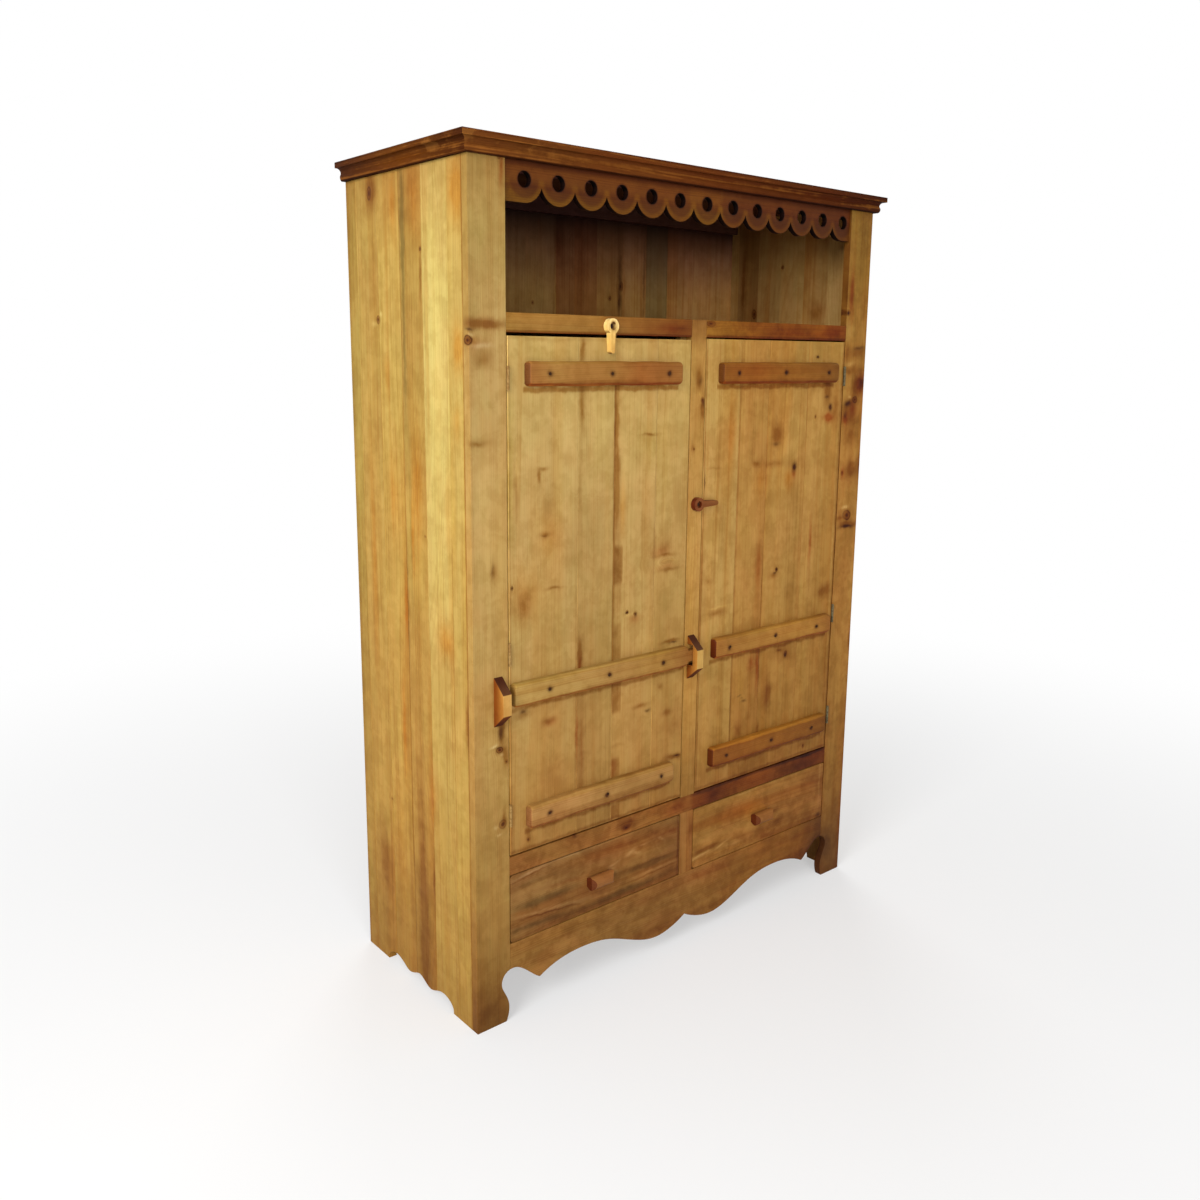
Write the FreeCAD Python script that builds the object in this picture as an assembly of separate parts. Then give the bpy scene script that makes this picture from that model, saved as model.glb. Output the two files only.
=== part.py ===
"""Rustic pine television armoire: an open top bay, two board doors and two drawers.

Millimetres. X runs to the right seen from the front, Y runs from the front to the back and
Z is up. The origin is at floor level, under the middle of the whole piece.
"""
import FreeCAD, Part
import os

from FreeCAD import Vector

# ---- the whole case ----
case_width = 1272.0
case_depth = 500.0
case_height = 1905.0

# ---- boards ----
board = 20.0                 # frame boards, side boards, shelves and doors
back_board = 12.0
stile_width = 89.0
post_width = 48.0
divider_width = 46.0
seam_ease = 0.8              # small bevel along every board's visible long edges

# ---- heights of the front; the doors take what the others leave ----
apron_top = 187.0
drawer_opening = 166.0
middle_rail_height = 43.0
upper_rail_height = 39.0
bay_height = 215.0
valance_drop = 118.0         # from the top of the case to the valance's lowest edge

# ---- crown ----
crown_height = 39.0
crown_out = 25.0
crown_bead_out = 13.0
crown_bead_height = 15.0
crown_fillet_height = 12.0
crown_step = 2.0             # the small returns between bead, cove and fillet

# ---- valance ----
scallop_overlap = 1.9        # how far each lobe reaches past half its width
valance_hole = 32.0
valance_thickness = 14.0
left_scallops = 7            # on the left length; the rest are on the right one

# ---- clearances ----
door_gap = 3.0               # at the hinges
door_free_gap = 2.0          # at the centre post
left_door_top_gap = 7.0      # the left door has dropped a little
right_door_top_gap = 3.5
door_bottom_gap = 4.0
stop_gap = 0.3               # between a closed door and what it stops against
face_gap = 0.3               # between a moving piece and the face that it passes in front of
drawer_gap = 2.0
runner_gap = 0.3
guide_gap = 0.5
kicker_gap = 5.0
pin_gap = 0.05
over = 1.0                   # how far a cutting shape runs past the wood

# ---- door battens and the latch bar ----
batten_thickness = 20.0
batten_height = 54.0
batten_bevel = 5.0
batten_inset = 41.0          # from a door's edge to the end of a batten
low_batten_inset = 24.0      # the right door's two lower battens run nearer to its hinges
top_batten_down = 83.0       # from the upper rail's lower edge
middle_batten_up = 370.0     # from the door's lower edge
bottom_batten_up = 82.0
tongue_height = 28.0
tongue_back_gap = 1.0
nail_spacing = 170.0
nail_shift = 4.0             # the row lies a little right of the door's middle
nail_head_radius = 3.0
nail_head_height = 1.2
nail_radius = 1.5
nail_proud = 0.4

# ---- carved brackets of the latch bar ----
bracket_out = 36.0
bracket_width = 22.0
bracket_base = 111.0
bracket_nose = 47.0
bracket_slot_height = 50.0
bracket_end_wall = 6.0       # closes the stile bracket's slot on the left
bracket_base_below = 64.0    # from the base's lower end up to the slot's middle
stile_bracket_gap = 16.5     # from the stile's inner edge to the bracket
post_bracket_gap = 9.5       # from the post's left edge to the bracket

# ---- turn buttons ----
button_head_radius = 16.5
button_thickness = 13.0
left_button_length = 58.0     # from the pivot to the tail's end
right_button_length = 64.0
button_tail_radius = 6.0
button_neck = 18.0
button_hole_radius = 2.6
button_sink_radius = 8.0
button_sink_depth = 8.5
screw_radius = 2.2
screw_head_radius = 5.0
screw_head_height = 2.5
screw_slot = 1.0
left_button_shift = 9.5      # from the left door's middle
left_button_up = 18.0        # from the upper rail's lower edge
right_button_shift = 2.5     # from the middle of the post
right_button_up = 740.0      # from the doors' lower edge

# ---- butt hinges ----
hinge_height = 50.0
top_hinge_down = 93.0        # from the upper rail's lower edge
bottom_hinge_up = 95.0
left_middle_hinge_up = 460.0     # clear of the latch bar
right_middle_hinge_up = 390.0
leaf = 1.1
leaf_width = 16.0
barrel_radius = 3.1
pin_radius = 1.5
pin_cap_radius = 2.5
pin_cap_height = 1.2
barrel_out = 3.4             # from the door's face out to the pin
knuckle_gap = 0.4

# ---- inside ----
shelf_boards = 4
shelf_up = 584.0             # from the cabinet floor to the top of the inner shelf
shelf_setback = 90.0
cleat = 20.0
stop_strip_width = 80.0
stop_strip = 15.0
top_boards = 5

# ---- drawers ----
drawer_corner = 7.0          # radius of a drawer front's four corners
drawer_side = 15.0
drawer_bottom = 6.0
drawer_bottom_up = 8.0
drawer_back_room = 68.0      # from the box to the back boards
drawer_side_drop = 13.0      # from the top of the opening to the top of the sides
runner_up = 5.0              # how far the drawer box runs above the apron's edge
drawer_back_drop = 6.0
runner_width = 92.0          # the middle one, under both drawers
runner_past = 5.0            # how far an outer one runs in past the drawer's side
guide_width = 20.0
bearer_height = 40.0
back_rail_height = 70.0
kicker_width = 40.0
pull_width = 68.0
pull_height = 32.0
pull_neck = 20.0
pull_out = 28.0
pull_shoulder = 11.0
pull_bevel = 9.0
pull_drop = 4.0              # below the middle of the drawer front
pull_shift = 7.5             # both pulls lie this far left of their drawer's middle

# ---- the wavy lower edges ----
side_foot = 100.0
# foot and notch: distance out from the stile's inner edge, height
foot_outline = [(11, 0), (4, 22), (4, 44), (14, 70), (23, 94), (16, 116), (-5, 126), (-42, 109), (-83, 76)]
# apron: share of the way from the notch's point to the middle, height
apron_outline = [(0, 76), (0.13, 98), (0.27, 104), (0.435, 95), (0.62, 62), (0.79, 42), (0.903, 51), (1, 71)]
# one half of the side's lower edge: share of the way from the foot to the middle, height
side_outline = [(0, 0), (0.027, 16), (0.13, 26), (0.28, 30), (0.49, 22), (0.66, 13), (0.84, 20), (1, 28)]

# ---- board widths; a panel's boards are all planed in proportion when it gets wider or narrower ----
left_side_widths = (55.0, 97.0, 93.0, 95.0, 95.0, 45.0)          # from the stile to the back
right_side_widths = (49.0, 55.0, 85.0, 85.0, 85.0, 79.0, 42.0)
left_door_widths = (184.0, 104.0, 127.0, 103.0)                  # from left to right
right_door_widths = (120.0, 105.0, 150.0, 143.0)
back_widths = (94.0,) * 6 + (65.0, 77.0, 90.0, 86.0, 81.0, 106.0, 163.0)

# ---- scallop widths from cusp to cusp; the first and the last run on flat to the stiles ----
scallop_widths = (93.5,) + (86.2,) * 6 + (86.3,) + (81.7,) * 4 + (70.2,)

# ---- worked out ----
half = case_width / 2
front = -(case_depth - bracket_out) / 2
back = front + case_depth
frame_back = front + board
inside = half - board
inside_back = back - back_board
stile_inner = half - stile_width
case_top = case_height - board
drawer_opening_top = apron_top + drawer_opening
middle_rail_top = drawer_opening_top + middle_rail_height
valance_bottom = case_height - valance_drop
upper_rail_top = valance_bottom - bay_height
upper_rail_bottom = upper_rail_top - upper_rail_height
runner_top = apron_top + runner_up - runner_gap
runner_bottom = runner_top - board
drawer_side_top = drawer_opening_top - drawer_side_drop
drawer_box_back = inside_back - drawer_back_room
drawer_outer = stile_inner - drawer_gap
drawer_inner = divider_width / 2 + drawer_gap
door_bottom = middle_rail_top + door_bottom_gap
left_door_top = upper_rail_bottom - left_door_top_gap
right_door_top = upper_rail_bottom - right_door_top_gap
door_back = frame_back - stop_gap
door_outer = stile_inner - door_gap
door_inner = post_width / 2 + door_free_gap
hinge_x = stile_inner - door_gap / 2
hinge_y = front - barrel_out
batten_front = front - batten_thickness
door_middle = (door_outer + door_inner) / 2
top_batten_z = upper_rail_bottom - top_batten_down
middle_batten_z = door_bottom + middle_batten_up
bottom_batten_z = door_bottom + bottom_batten_up
post_bracket_x = -post_width / 2 + post_bracket_gap
button_y = front - face_gap - button_thickness
screw_seat = button_y + button_sink_depth - guide_gap


def block(x0, x1, y0, y1, z0, z1):
    """A plain box between six planes."""
    return Part.makeBox(x1 - x0, y1 - y0, z1 - z0, Vector(x0, y0, z0))


def rod(radius, length, x, y, z):
    """A round bar that runs from front to back."""
    return Part.makeCylinder(radius, length, Vector(x, y, z), Vector(0, 1, 0))


def prism(points, direction):
    """A closed outline of straight edges, extruded."""
    wire = Part.makePolygon([Vector(*p) for p in points + points[:1]])
    return Part.Face(wire).extrude(Vector(*direction))


def mirrored(shape):
    """The same piece on the other side of the case."""
    return shape.mirror(Vector(0, 0, 0), Vector(1, 0, 0))


def upright(x0, x1, y0, y1, z0, z1):
    """An upright board whose two front edges are eased."""
    e = seam_ease
    plan = [(x0, y0 + e), (x0 + e, y0), (x1 - e, y0), (x1, y0 + e), (x1, y1), (x0, y1)]
    return prism([(x, y, z0) for x, y in plan], (0, 0, z1 - z0))


def side_board(y0, y1, z0, z1):
    """An upright board of the left side, eased on its outer face."""
    e = seam_ease
    plan = [(-half + e, y0), (-half, y0 + e), (-half, y1 - e), (-half + e, y1), (-inside, y1), (-inside, y0)]
    return prism([(x, y, z0) for x, y in plan], (0, 0, z1 - z0))


def flat_boards(count, y0, y1, z0, z1, x_reach):
    """Boards lying side by side from front to back, with their long edges across the case."""
    step = (y1 - y0) / count
    return [block(-x_reach, x_reach, y0 + n * step, y0 + (n + 1) * step, z0, z1) for n in range(count)]


def spline(points):
    """A smooth curve through points, as an edge."""
    curve = Part.BSplineCurve()
    curve.interpolate([Vector(*p) for p in points])
    return curve.toShape()


def lines(points):
    """Straight edges from point to point."""
    corners = [Vector(*p) for p in points]
    return [Part.LineSegment(a, b).toShape() for a, b in zip(corners, corners[1:])]


def outline_face(edges):
    """The face inside a closed run of edges."""
    return Part.Face(Part.Wire(Part.__sortEdges__(edges)))


def front_cut():
    """What is sawn away under the apron and between the feet, on the right half."""
    y = front - over
    foot = [(stile_inner + outward, y, z) for outward, z in foot_outline]
    notch_x = foot[-1][0]
    wave = [(notch_x * (1 - share), y, z) for share, z in apron_outline]
    rest = [wave[-1], (0, y, -over), (foot[0][0], y, -over), foot[0]]
    return outline_face([spline(foot), spline(wave)] + lines(rest)).extrude(Vector(0, board + 2 * over, 0))


def side_cut():
    """What is sawn away between the two feet of the left side: three low waves."""
    x = -half - over
    y0 = front + side_foot
    y1 = back - side_foot
    reach = (y1 - y0) / 2
    rising = [(x, y0 + share * reach, z) for share, z in side_outline]
    falling = [(x, y1 - share * reach, z) for share, z in reversed(side_outline[:-1])]
    rest = [(x, y1, 0), (x, y1, -over), (x, y0, -over), (x, y0, 0)]
    return outline_face([spline(rising + falling)] + lines(rest)).extrude(Vector(board + 2 * over, 0, 0))


# ---- the case ----

def stile():
    """The left front corner board, down to its carved foot."""
    return upright(-half, -stile_inner, front, frame_back, 0, case_top).cut(mirrored(front_cut()))


def apron():
    """The low front board, cut to waves that meet at a point in the middle."""
    whole = block(-stile_inner, stile_inner, front, frame_back, 0, apron_top)
    right = front_cut()
    return whole.cut(right).cut(mirrored(right))


def valance():
    """The pierced and scalloped board over the open bay, in its two lengths."""
    y0 = frame_back - valance_thickness
    cusps = board_edges(-stile_inner, scallop_widths, stile_inner)
    halves = [(x1 - x0) / 2 for x0, x1 in cusps]
    halves[0] = halves[1]
    halves[-1] = halves[-2]
    centres = [(x0 + x1) / 2 for x0, x1 in cusps]
    centres[0] = cusps[0][1] - halves[0]
    centres[-1] = cusps[-1][0] + halves[-1]
    hole_z = valance_bottom + halves[0] + scallop_overlap
    plate = block(-stile_inner, stile_inner, y0, frame_back, hole_z, case_top)
    for x, reach, (x0, x1) in zip(centres, halves, cusps):
        radius = reach + scallop_overlap
        lobe = rod(radius, valance_thickness, x, y0, valance_bottom + radius)
        lobe = lobe.fuse(block(x - radius, x + radius, y0, frame_back, valance_bottom + radius, hole_z + over))
        room = block(x0, x1, y0, frame_back, valance_bottom, hole_z)
        plate = plate.fuse(lobe.common(room))
    for x0, x1 in ((-stile_inner, centres[0]), (centres[-1], stile_inner)):
        plate = plate.fuse(block(x0, x1, y0, frame_back, valance_bottom, hole_z))
    plate = plate.removeSplitter()
    for x in centres:
        plate = plate.cut(rod(valance_hole / 2, valance_thickness, x, y0, hole_z))
    joint = cusps[left_scallops][0]
    left = plate.common(block(-half, joint, front, back, 0, case_height))
    right = plate.common(block(joint, half, front, back, 0, case_height))
    return left, right


def crown_profile(start, out, along):
    """The moulding's section: a bead, a cove and a top fillet. out is the outward direction."""
    low = case_height - crown_height
    cove_low = low + crown_bead_height
    cove_high = case_height - crown_fillet_height

    def at(distance, z):
        return Vector(start[0] + out[0] * distance, start[1] + out[1] * distance, z)

    bead_start = at(crown_bead_out - crown_step * 2, low)
    bead_nose = at(crown_bead_out, low + crown_bead_height / 2)
    neck = at(crown_bead_out - crown_step, cove_low)
    hollow = at(crown_bead_out, (cove_low + cove_high) / 2 + crown_step)
    lip = at(crown_out - crown_step, cove_high)
    edges = [Part.Arc(bead_start, bead_nose, neck).toShape(), Part.Arc(neck, hollow, lip).toShape()]
    top = [at(crown_out, cove_high), at(crown_out, case_height), at(0, case_height)]
    rest = [lip] + top + [at(0, low), bead_start]
    return outline_face(edges + lines(rest)).extrude(Vector(*along))


def crown():
    """Front length and left side length, mitred at the corner."""
    reach = half + crown_out
    nose = front - crown_out
    low = case_height - crown_height
    long_run = crown_profile((-reach, front), (0, -1), (2 * reach, 0, 0))
    short_run = crown_profile((-half, nose), (-1, 0), (0, case_depth + crown_out, 0))
    front_plan = [(-reach, nose), (reach, nose), (half, front), (-half, front)]
    side_plan = [(-reach, nose), (-half, front), (-half, back), (-reach, back)]
    up = (0, 0, crown_height)
    front_wedge = prism([(x, y, low) for x, y in front_plan], up)
    side_wedge = prism([(x, y, low) for x, y in side_plan], up)
    return long_run.common(front_wedge), short_run.common(side_wedge)


def board_edges(start, widths, end):
    """Where boards laid side by side begin and end, planed in proportion to fill the space."""
    scale = (end - start) / sum(widths)
    edges = [start]
    for width in widths:
        edges.append(edges[-1] + width * scale)
    return list(zip(edges, edges[1:]))


def side_panel(widths):
    """The boards of a left side, with the wavy lower edge sawn through them."""
    cut = side_cut()
    return [side_board(a, b, 0, case_top).cut(cut) for a, b in board_edges(frame_back, widths, back)]


def back_panel():
    """Upright back boards between the sides."""
    lowest = runner_bottom - back_rail_height
    return [block(a, b, inside_back, back, lowest, case_top) for a, b in board_edges(-inside, back_widths, inside)]


def side_cleats(top, y0):
    """The pair of strips on the sides that a shelf rests on."""
    strip = block(-inside, -inside + cleat, y0, inside_back, top - cleat, top)
    return [strip, mirrored(strip)]


# ---- doors ----

def door_boards(x0, x1, top, widths):
    """Upright boards side by side from x0 to x1."""
    return [upright(a, b, front, door_back, door_bottom, top) for a, b in board_edges(x0, widths, x1)]


def nails(middle, z):
    """A row of round-headed nails through a batten, their heads a little proud."""
    made = []
    head_y = batten_front - nail_proud
    shank_y = head_y + nail_head_height
    for x in (middle - nail_spacing, middle, middle + nail_spacing):
        head = rod(nail_head_radius, nail_head_height, x, head_y, z)
        shank = rod(nail_radius, front - shank_y, x, shank_y, z)
        made.append(head.fuse(shank).removeSplitter())
    return made


def batten(x0, x1, z, pins):
    """A bevelled strip across a door's face, with its nail holes."""
    z0 = z - batten_height / 2
    z1 = z + batten_height / 2
    b = batten_bevel
    shoulder = batten_front + b
    nose = batten_front
    section = [(front, z0), (shoulder, z0), (nose, z0 + b), (nose, z1 - b), (shoulder, z1), (front, z1)]
    bar = prism([(x0, y, height) for y, height in section], (x1 - x0, 0, 0))
    for x, side in ((x0, 1), (x1, -1)):
        wedge = [(x, nose, z0), (x + side * b, nose, z0), (x, shoulder, z0)]
        bar = bar.cut(prism(wedge, (0, 0, batten_height)))
    for pin in pins:
        bar = bar.cut(pin)
    return bar


def latch_bar(pins):
    """The left door's middle batten, with a tongue that runs on into its carved bracket."""
    z = middle_batten_z
    bar = batten(-door_outer, -door_inner, z, pins)
    tongue = block(-door_inner - batten_bevel, post_bracket_x + bracket_width - tongue_back_gap,
                   batten_front, front - tongue_back_gap, z - tongue_height / 2, z + tongue_height / 2)
    return bar.fuse(tongue).removeSplitter()


def bracket(x, base_y, slot_x):
    """A carved bridge with sloping ends; x is its left face, and the slot for the bar runs from slot_x."""
    z0 = middle_batten_z - bracket_base_below
    z1 = z0 + bracket_base
    slope = (bracket_base - bracket_nose) / 2
    nose_y = front - bracket_out
    outline = [(x, base_y, z0), (x, nose_y, z0 + slope), (x, nose_y, z1 - slope), (x, base_y, z1)]
    slot_z = middle_batten_z - bracket_slot_height / 2
    slot = block(slot_x, x + bracket_width + over, batten_front, front + over,
                 slot_z, slot_z + bracket_slot_height)
    return prism(outline, (bracket_width, 0, 0)).cut(slot)


def turn_button(x, z, length, direction):
    """A wooden catch that turns on one screw. direction is where its tail points, (x, z)."""
    dx, dz = direction
    tail = length - button_tail_radius
    tail_x = x + dx * tail
    tail_z = z + dz * tail
    neck = button_neck / 2
    end = button_tail_radius
    corners = [(x - dz * neck, z + dx * neck), (tail_x - dz * end, tail_z + dx * end),
               (tail_x + dz * end, tail_z - dx * end), (x + dz * neck, z - dx * neck)]
    shape = prism([(cx, button_y, cz) for cx, cz in corners], (0, button_thickness, 0))
    shape = shape.fuse(rod(button_head_radius, button_thickness, x, button_y, z))
    shape = shape.fuse(rod(end, button_thickness, tail_x, button_y, tail_z)).removeSplitter()
    shape = shape.cut(rod(button_sink_radius, button_sink_depth, x, button_y, z))
    return shape.cut(rod(button_hole_radius, button_thickness, x, button_y, z))


def button_screw(x, z):
    """The catch's screw: its slotted head lies in the sink."""
    head_y = screw_seat - screw_head_height
    head = rod(screw_head_radius, screw_head_height, x, head_y, z)
    shank = rod(screw_radius, front - face_gap - screw_seat, x, screw_seat, z)
    slot = block(x - screw_head_radius, x + screw_head_radius, head_y, head_y + screw_slot,
                 z - screw_slot / 2, z + screw_slot / 2)
    return head.fuse(shank).removeSplitter().cut(slot)


# ---- hinges ----

def knuckle(z0, z1):
    """One knuckle of a left hinge, bored for the pin."""
    ring = Part.makeCylinder(barrel_radius, z1 - z0, Vector(-hinge_x, hinge_y, z0))
    return ring.cut(Part.makeCylinder(pin_radius + pin_gap, z1 - z0, Vector(-hinge_x, hinge_y, z0)))


def hinge_leaf(wood_x, toward, spans, z):
    """A leaf on a wood edge at wood_x, and the knuckles that it rolls into."""
    x0, x1 = sorted((wood_x, wood_x + toward * leaf))
    z0 = z - hinge_height / 2
    plate = block(x0, x1, hinge_y, front + leaf_width, z0, z0 + hinge_height)
    clear = Part.makeCylinder(barrel_radius + knuckle_gap, hinge_height, Vector(-hinge_x, hinge_y, z0))
    plate = plate.cut(clear)
    made = plate
    for a, b in spans:
        lug = block(x0, x1, hinge_y, front + barrel_radius, z0 + a, z0 + b)
        bore = Part.makeCylinder(pin_radius + pin_gap, b - a, Vector(-hinge_x, hinge_y, z0 + a))
        made = made.fuse(lug.cut(bore)).fuse(knuckle(z0 + a, z0 + b))
    return made.removeSplitter()


def hinges(heights):
    """A left door's hinges: leaves on the stile, leaves on the door and the pins."""
    third = hinge_height / 3
    outer_spans = [(0, third - knuckle_gap / 2), (2 * third + knuckle_gap / 2, hinge_height)]
    middle_span = [(third + knuckle_gap / 2, 2 * third - knuckle_gap / 2)]
    frame = [hinge_leaf(-stile_inner, 1, outer_spans, z) for z in heights]
    door = [hinge_leaf(-door_outer, -1, middle_span, z) for z in heights]
    pins = []
    for z in heights:
        z0 = z - hinge_height / 2
        shank = Part.makeCylinder(pin_radius, hinge_height, Vector(-hinge_x, hinge_y, z0))
        cap = Part.makeCylinder(pin_cap_radius, pin_cap_height, Vector(-hinge_x, hinge_y, z0 + hinge_height))
        pins.append(shank.fuse(cap).removeSplitter())
    return {"frame_hinge_leaves": frame, "door_hinge_leaves": door, "hinge_pins": pins}


# ---- drawers ----

def drawer_pieces():
    """The left drawer: its front, sides, back and bottom."""
    x0 = -drawer_outer
    x1 = -drawer_inner
    z0 = apron_top + drawer_gap
    z1 = drawer_opening_top - drawer_gap
    rounded = block(x0, x1, front, frame_back, z0, z1)
    corners = [edge for edge in rounded.Edges if edge.tangentAt(0).y ** 2 > 0.5]
    face = upright(x0, x1, front, frame_back, z0, z1).common(rounded.makeFillet(drawer_corner, corners))
    out_x0 = x0 + drawer_gap
    out_x1 = x1 - drawer_gap
    in_x0 = out_x0 + drawer_side
    in_x1 = out_x1 - drawer_side
    low = runner_top + runner_gap
    sides = [block(a, b, frame_back, drawer_box_back, low, drawer_side_top)
             for a, b in ((out_x0, in_x0), (in_x1, out_x1))]
    floor_z = low + drawer_bottom_up
    floor_top = floor_z + drawer_bottom
    bottom = block(in_x0, in_x1, frame_back, drawer_box_back, floor_z, floor_top)
    rear = block(in_x0, in_x1, drawer_box_back - drawer_side, drawer_box_back, floor_top,
                 drawer_side_top - drawer_back_drop)
    return face, sides, rear, bottom


def pull(x):
    """A long wooden pull, centred at x: a narrow neck, a rounded nose and bevelled ends."""
    x0 = x - pull_width / 2
    z = apron_top + drawer_opening / 2 - pull_drop
    nose = front - pull_out
    shoulder = front - pull_shoulder
    neck = pull_neck / 2
    tall = pull_height / 2
    low = (x0, shoulder, z - tall)
    high = (x0, shoulder, z + tall)
    arc = Part.Arc(Vector(*low), Vector(x0, nose, z), Vector(*high)).toShape()
    rest = lines([high, (x0, front, z + neck), (x0, front, z - neck), low])
    bar = outline_face([arc] + rest).extrude(Vector(pull_width, 0, 0))
    for end, side in ((x0, 1), (x0 + pull_width, -1)):
        corner = [(end, nose), (end + side * pull_bevel, nose), (end, nose + pull_bevel)]
        bar = bar.cut(prism([(a, b, z - tall) for a, b in corner], (0, 0, pull_height)))
    return bar


def under_drawers():
    """Boards that carry the drawers, guides beside the drawers and kickers over their sides."""
    side_edge = -stile_inner + 2 * drawer_gap
    mid_edge = divider_width / 2 + 2 * drawer_gap

    def rail(x0, x1, z0, z1):
        return block(x0, x1, frame_back, inside_back, z0, z1)

    runner = rail(-inside, side_edge + drawer_side + runner_past, runner_bottom, runner_top)
    middle_runner = rail(-runner_width / 2, runner_width / 2, runner_bottom, runner_top)
    guide_edge = side_edge - guide_gap
    guide_top = runner_top + guide_width
    guide = rail(guide_edge - guide_width, guide_edge, runner_top, guide_top)
    middle_guide = rail(-mid_edge + guide_gap, mid_edge - guide_gap, runner_top, guide_top)
    kicker_z = drawer_side_top + kicker_gap
    floor_under = middle_rail_top - board
    kicker = rail(side_edge - guide_width, side_edge - guide_width + kicker_width, kicker_z, floor_under)
    middle_kicker = rail(-kicker_width, kicker_width, kicker_z, floor_under)
    return ([runner, middle_runner, mirrored(runner)], [guide, middle_guide, mirrored(guide)],
            [kicker, middle_kicker, mirrored(kicker)])


# ---- every node ----

def front_nodes():
    """The frame that is seen from the front, and the crown."""
    nodes = {}
    nodes["left_stile"] = [stile()]
    nodes["right_stile"] = [mirrored(stile())]
    post = post_width / 2
    nodes["centre_post"] = [upright(-post, post, front, frame_back, middle_rail_top, upper_rail_top)]
    rail = block(-stile_inner, -post, front, frame_back, upper_rail_bottom, upper_rail_top)
    nodes["upper_rail_left"] = [rail]
    nodes["upper_rail_right"] = [mirrored(rail)]
    middle = block(-stile_inner, stile_inner, front, frame_back, drawer_opening_top, middle_rail_top)
    nodes["middle_rail"] = [middle]
    divider = divider_width / 2
    nodes["drawer_divider"] = [upright(-divider, divider, front, frame_back, apron_top, drawer_opening_top)]
    nodes["apron"] = [apron()]
    left_valance, right_valance = valance()
    nodes["valance_left"] = [left_valance]
    nodes["valance_right"] = [right_valance]
    crown_front, crown_left = crown()
    nodes["crown_front"] = [crown_front]
    nodes["crown_left"] = [crown_left]
    nodes["crown_right"] = [mirrored(crown_left)]
    bracket_x = -stile_inner - stile_bracket_gap - bracket_width
    nodes["stile_bracket"] = [bracket(bracket_x, front, bracket_x + bracket_end_wall)]
    return nodes


def case_nodes():
    """Sides, back, top, shelves and what carries the drawers."""
    nodes = {}
    nodes["left_side_boards"] = side_panel(left_side_widths)
    nodes["right_side_boards"] = [mirrored(b) for b in side_panel(right_side_widths)]
    nodes["back_boards"] = back_panel()
    nodes["top_boards"] = flat_boards(top_boards, front, back, case_top, case_height, half)
    nodes["top_cleats"] = [block(-inside, inside, y, y + cleat, case_top - 2 * cleat, case_top)
                           for y in (frame_back, inside_back - cleat)]
    shelf_top = middle_rail_top + shelf_up
    shelf_front = front + shelf_setback
    levels = (("media_shelf", upper_rail_top, frame_back, shelf_boards),
              ("inner_shelf", shelf_top, shelf_front, shelf_boards - 1),
              ("cabinet_floor", middle_rail_top, frame_back, shelf_boards))
    cleats = []
    for name, top, y0, count in levels:
        nodes[name] = flat_boards(count, y0, inside_back, top - board, top, inside)
        cleats += side_cleats(top - board, y0)
    nodes["shelf_cleats"] = cleats
    stop = stop_strip_width / 2
    nodes["door_stop"] = [block(-stop, stop, frame_back, frame_back + stop_strip,
                                middle_rail_top, upper_rail_top - board)]
    runners, guides, kickers = under_drawers()
    nodes["drawer_runners"] = runners
    nodes["drawer_guides"] = guides
    nodes["drawer_kickers"] = kickers
    nodes["front_bearer"] = [block(-inside, inside, frame_back, frame_back + cleat,
                                   runner_bottom - bearer_height, runner_bottom)]
    nodes["back_rail"] = [block(-inside, inside, inside_back - cleat, inside_back,
                                runner_bottom - back_rail_height, runner_bottom)]
    return nodes


def door_nodes():
    """Both doors with their battens, nails, hinges and turn buttons."""
    nodes = {}
    rows = (top_batten_z, middle_batten_z, bottom_batten_z)
    left_rows = [nails(-door_middle + nail_shift, z) for z in rows]
    left_x0 = -door_outer + batten_inset
    left_x1 = -door_inner - batten_inset
    nodes["left_door_boards"] = door_boards(-door_outer, -door_inner, left_door_top, left_door_widths)
    nodes["left_top_batten"] = [batten(left_x0, left_x1, top_batten_z, left_rows[0])]
    nodes["latch_bar"] = [latch_bar(left_rows[1])]
    nodes["left_bottom_batten"] = [batten(left_x0, left_x1, bottom_batten_z, left_rows[2])]
    nodes["left_door_nails"] = [nail for row in left_rows for nail in row]
    nodes["post_bracket"] = [bracket(post_bracket_x, front - face_gap, post_bracket_x - over)]

    right_rows = [nails(door_middle + nail_shift, z) for z in rows]
    right_x0 = door_inner + batten_inset
    nodes["right_door_boards"] = door_boards(door_inner, door_outer, right_door_top, right_door_widths)
    nodes["right_top_batten"] = [batten(right_x0, door_outer - batten_inset, top_batten_z, right_rows[0])]
    low_x1 = door_outer - low_batten_inset
    nodes["right_middle_batten"] = [batten(right_x0, low_x1, middle_batten_z, right_rows[1])]
    nodes["right_bottom_batten"] = [batten(right_x0, low_x1, bottom_batten_z, right_rows[2])]
    nodes["right_door_nails"] = [nail for row in right_rows for nail in row]

    top_hinge = upper_rail_bottom - top_hinge_down
    bottom_hinge = door_bottom + bottom_hinge_up
    left_heights = (top_hinge, door_bottom + left_middle_hinge_up, bottom_hinge)
    right_heights = (top_hinge, door_bottom + right_middle_hinge_up, bottom_hinge)
    for name, pieces in hinges(left_heights).items():
        nodes["left_" + name] = pieces
    for name, pieces in hinges(right_heights).items():
        nodes["right_" + name] = [mirrored(p) for p in pieces]

    left_pivot = (-door_middle + left_button_shift, upper_rail_bottom + left_button_up)
    right_pivot = (right_button_shift, door_bottom + right_button_up)
    nodes["left_turn_button"] = [turn_button(*left_pivot, left_button_length, (0, -1))]
    nodes["right_turn_button"] = [turn_button(*right_pivot, right_button_length, (1, 0))]
    nodes["left_button_screw"] = [button_screw(*left_pivot)]
    nodes["right_button_screw"] = [button_screw(*right_pivot)]
    return nodes


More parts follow.
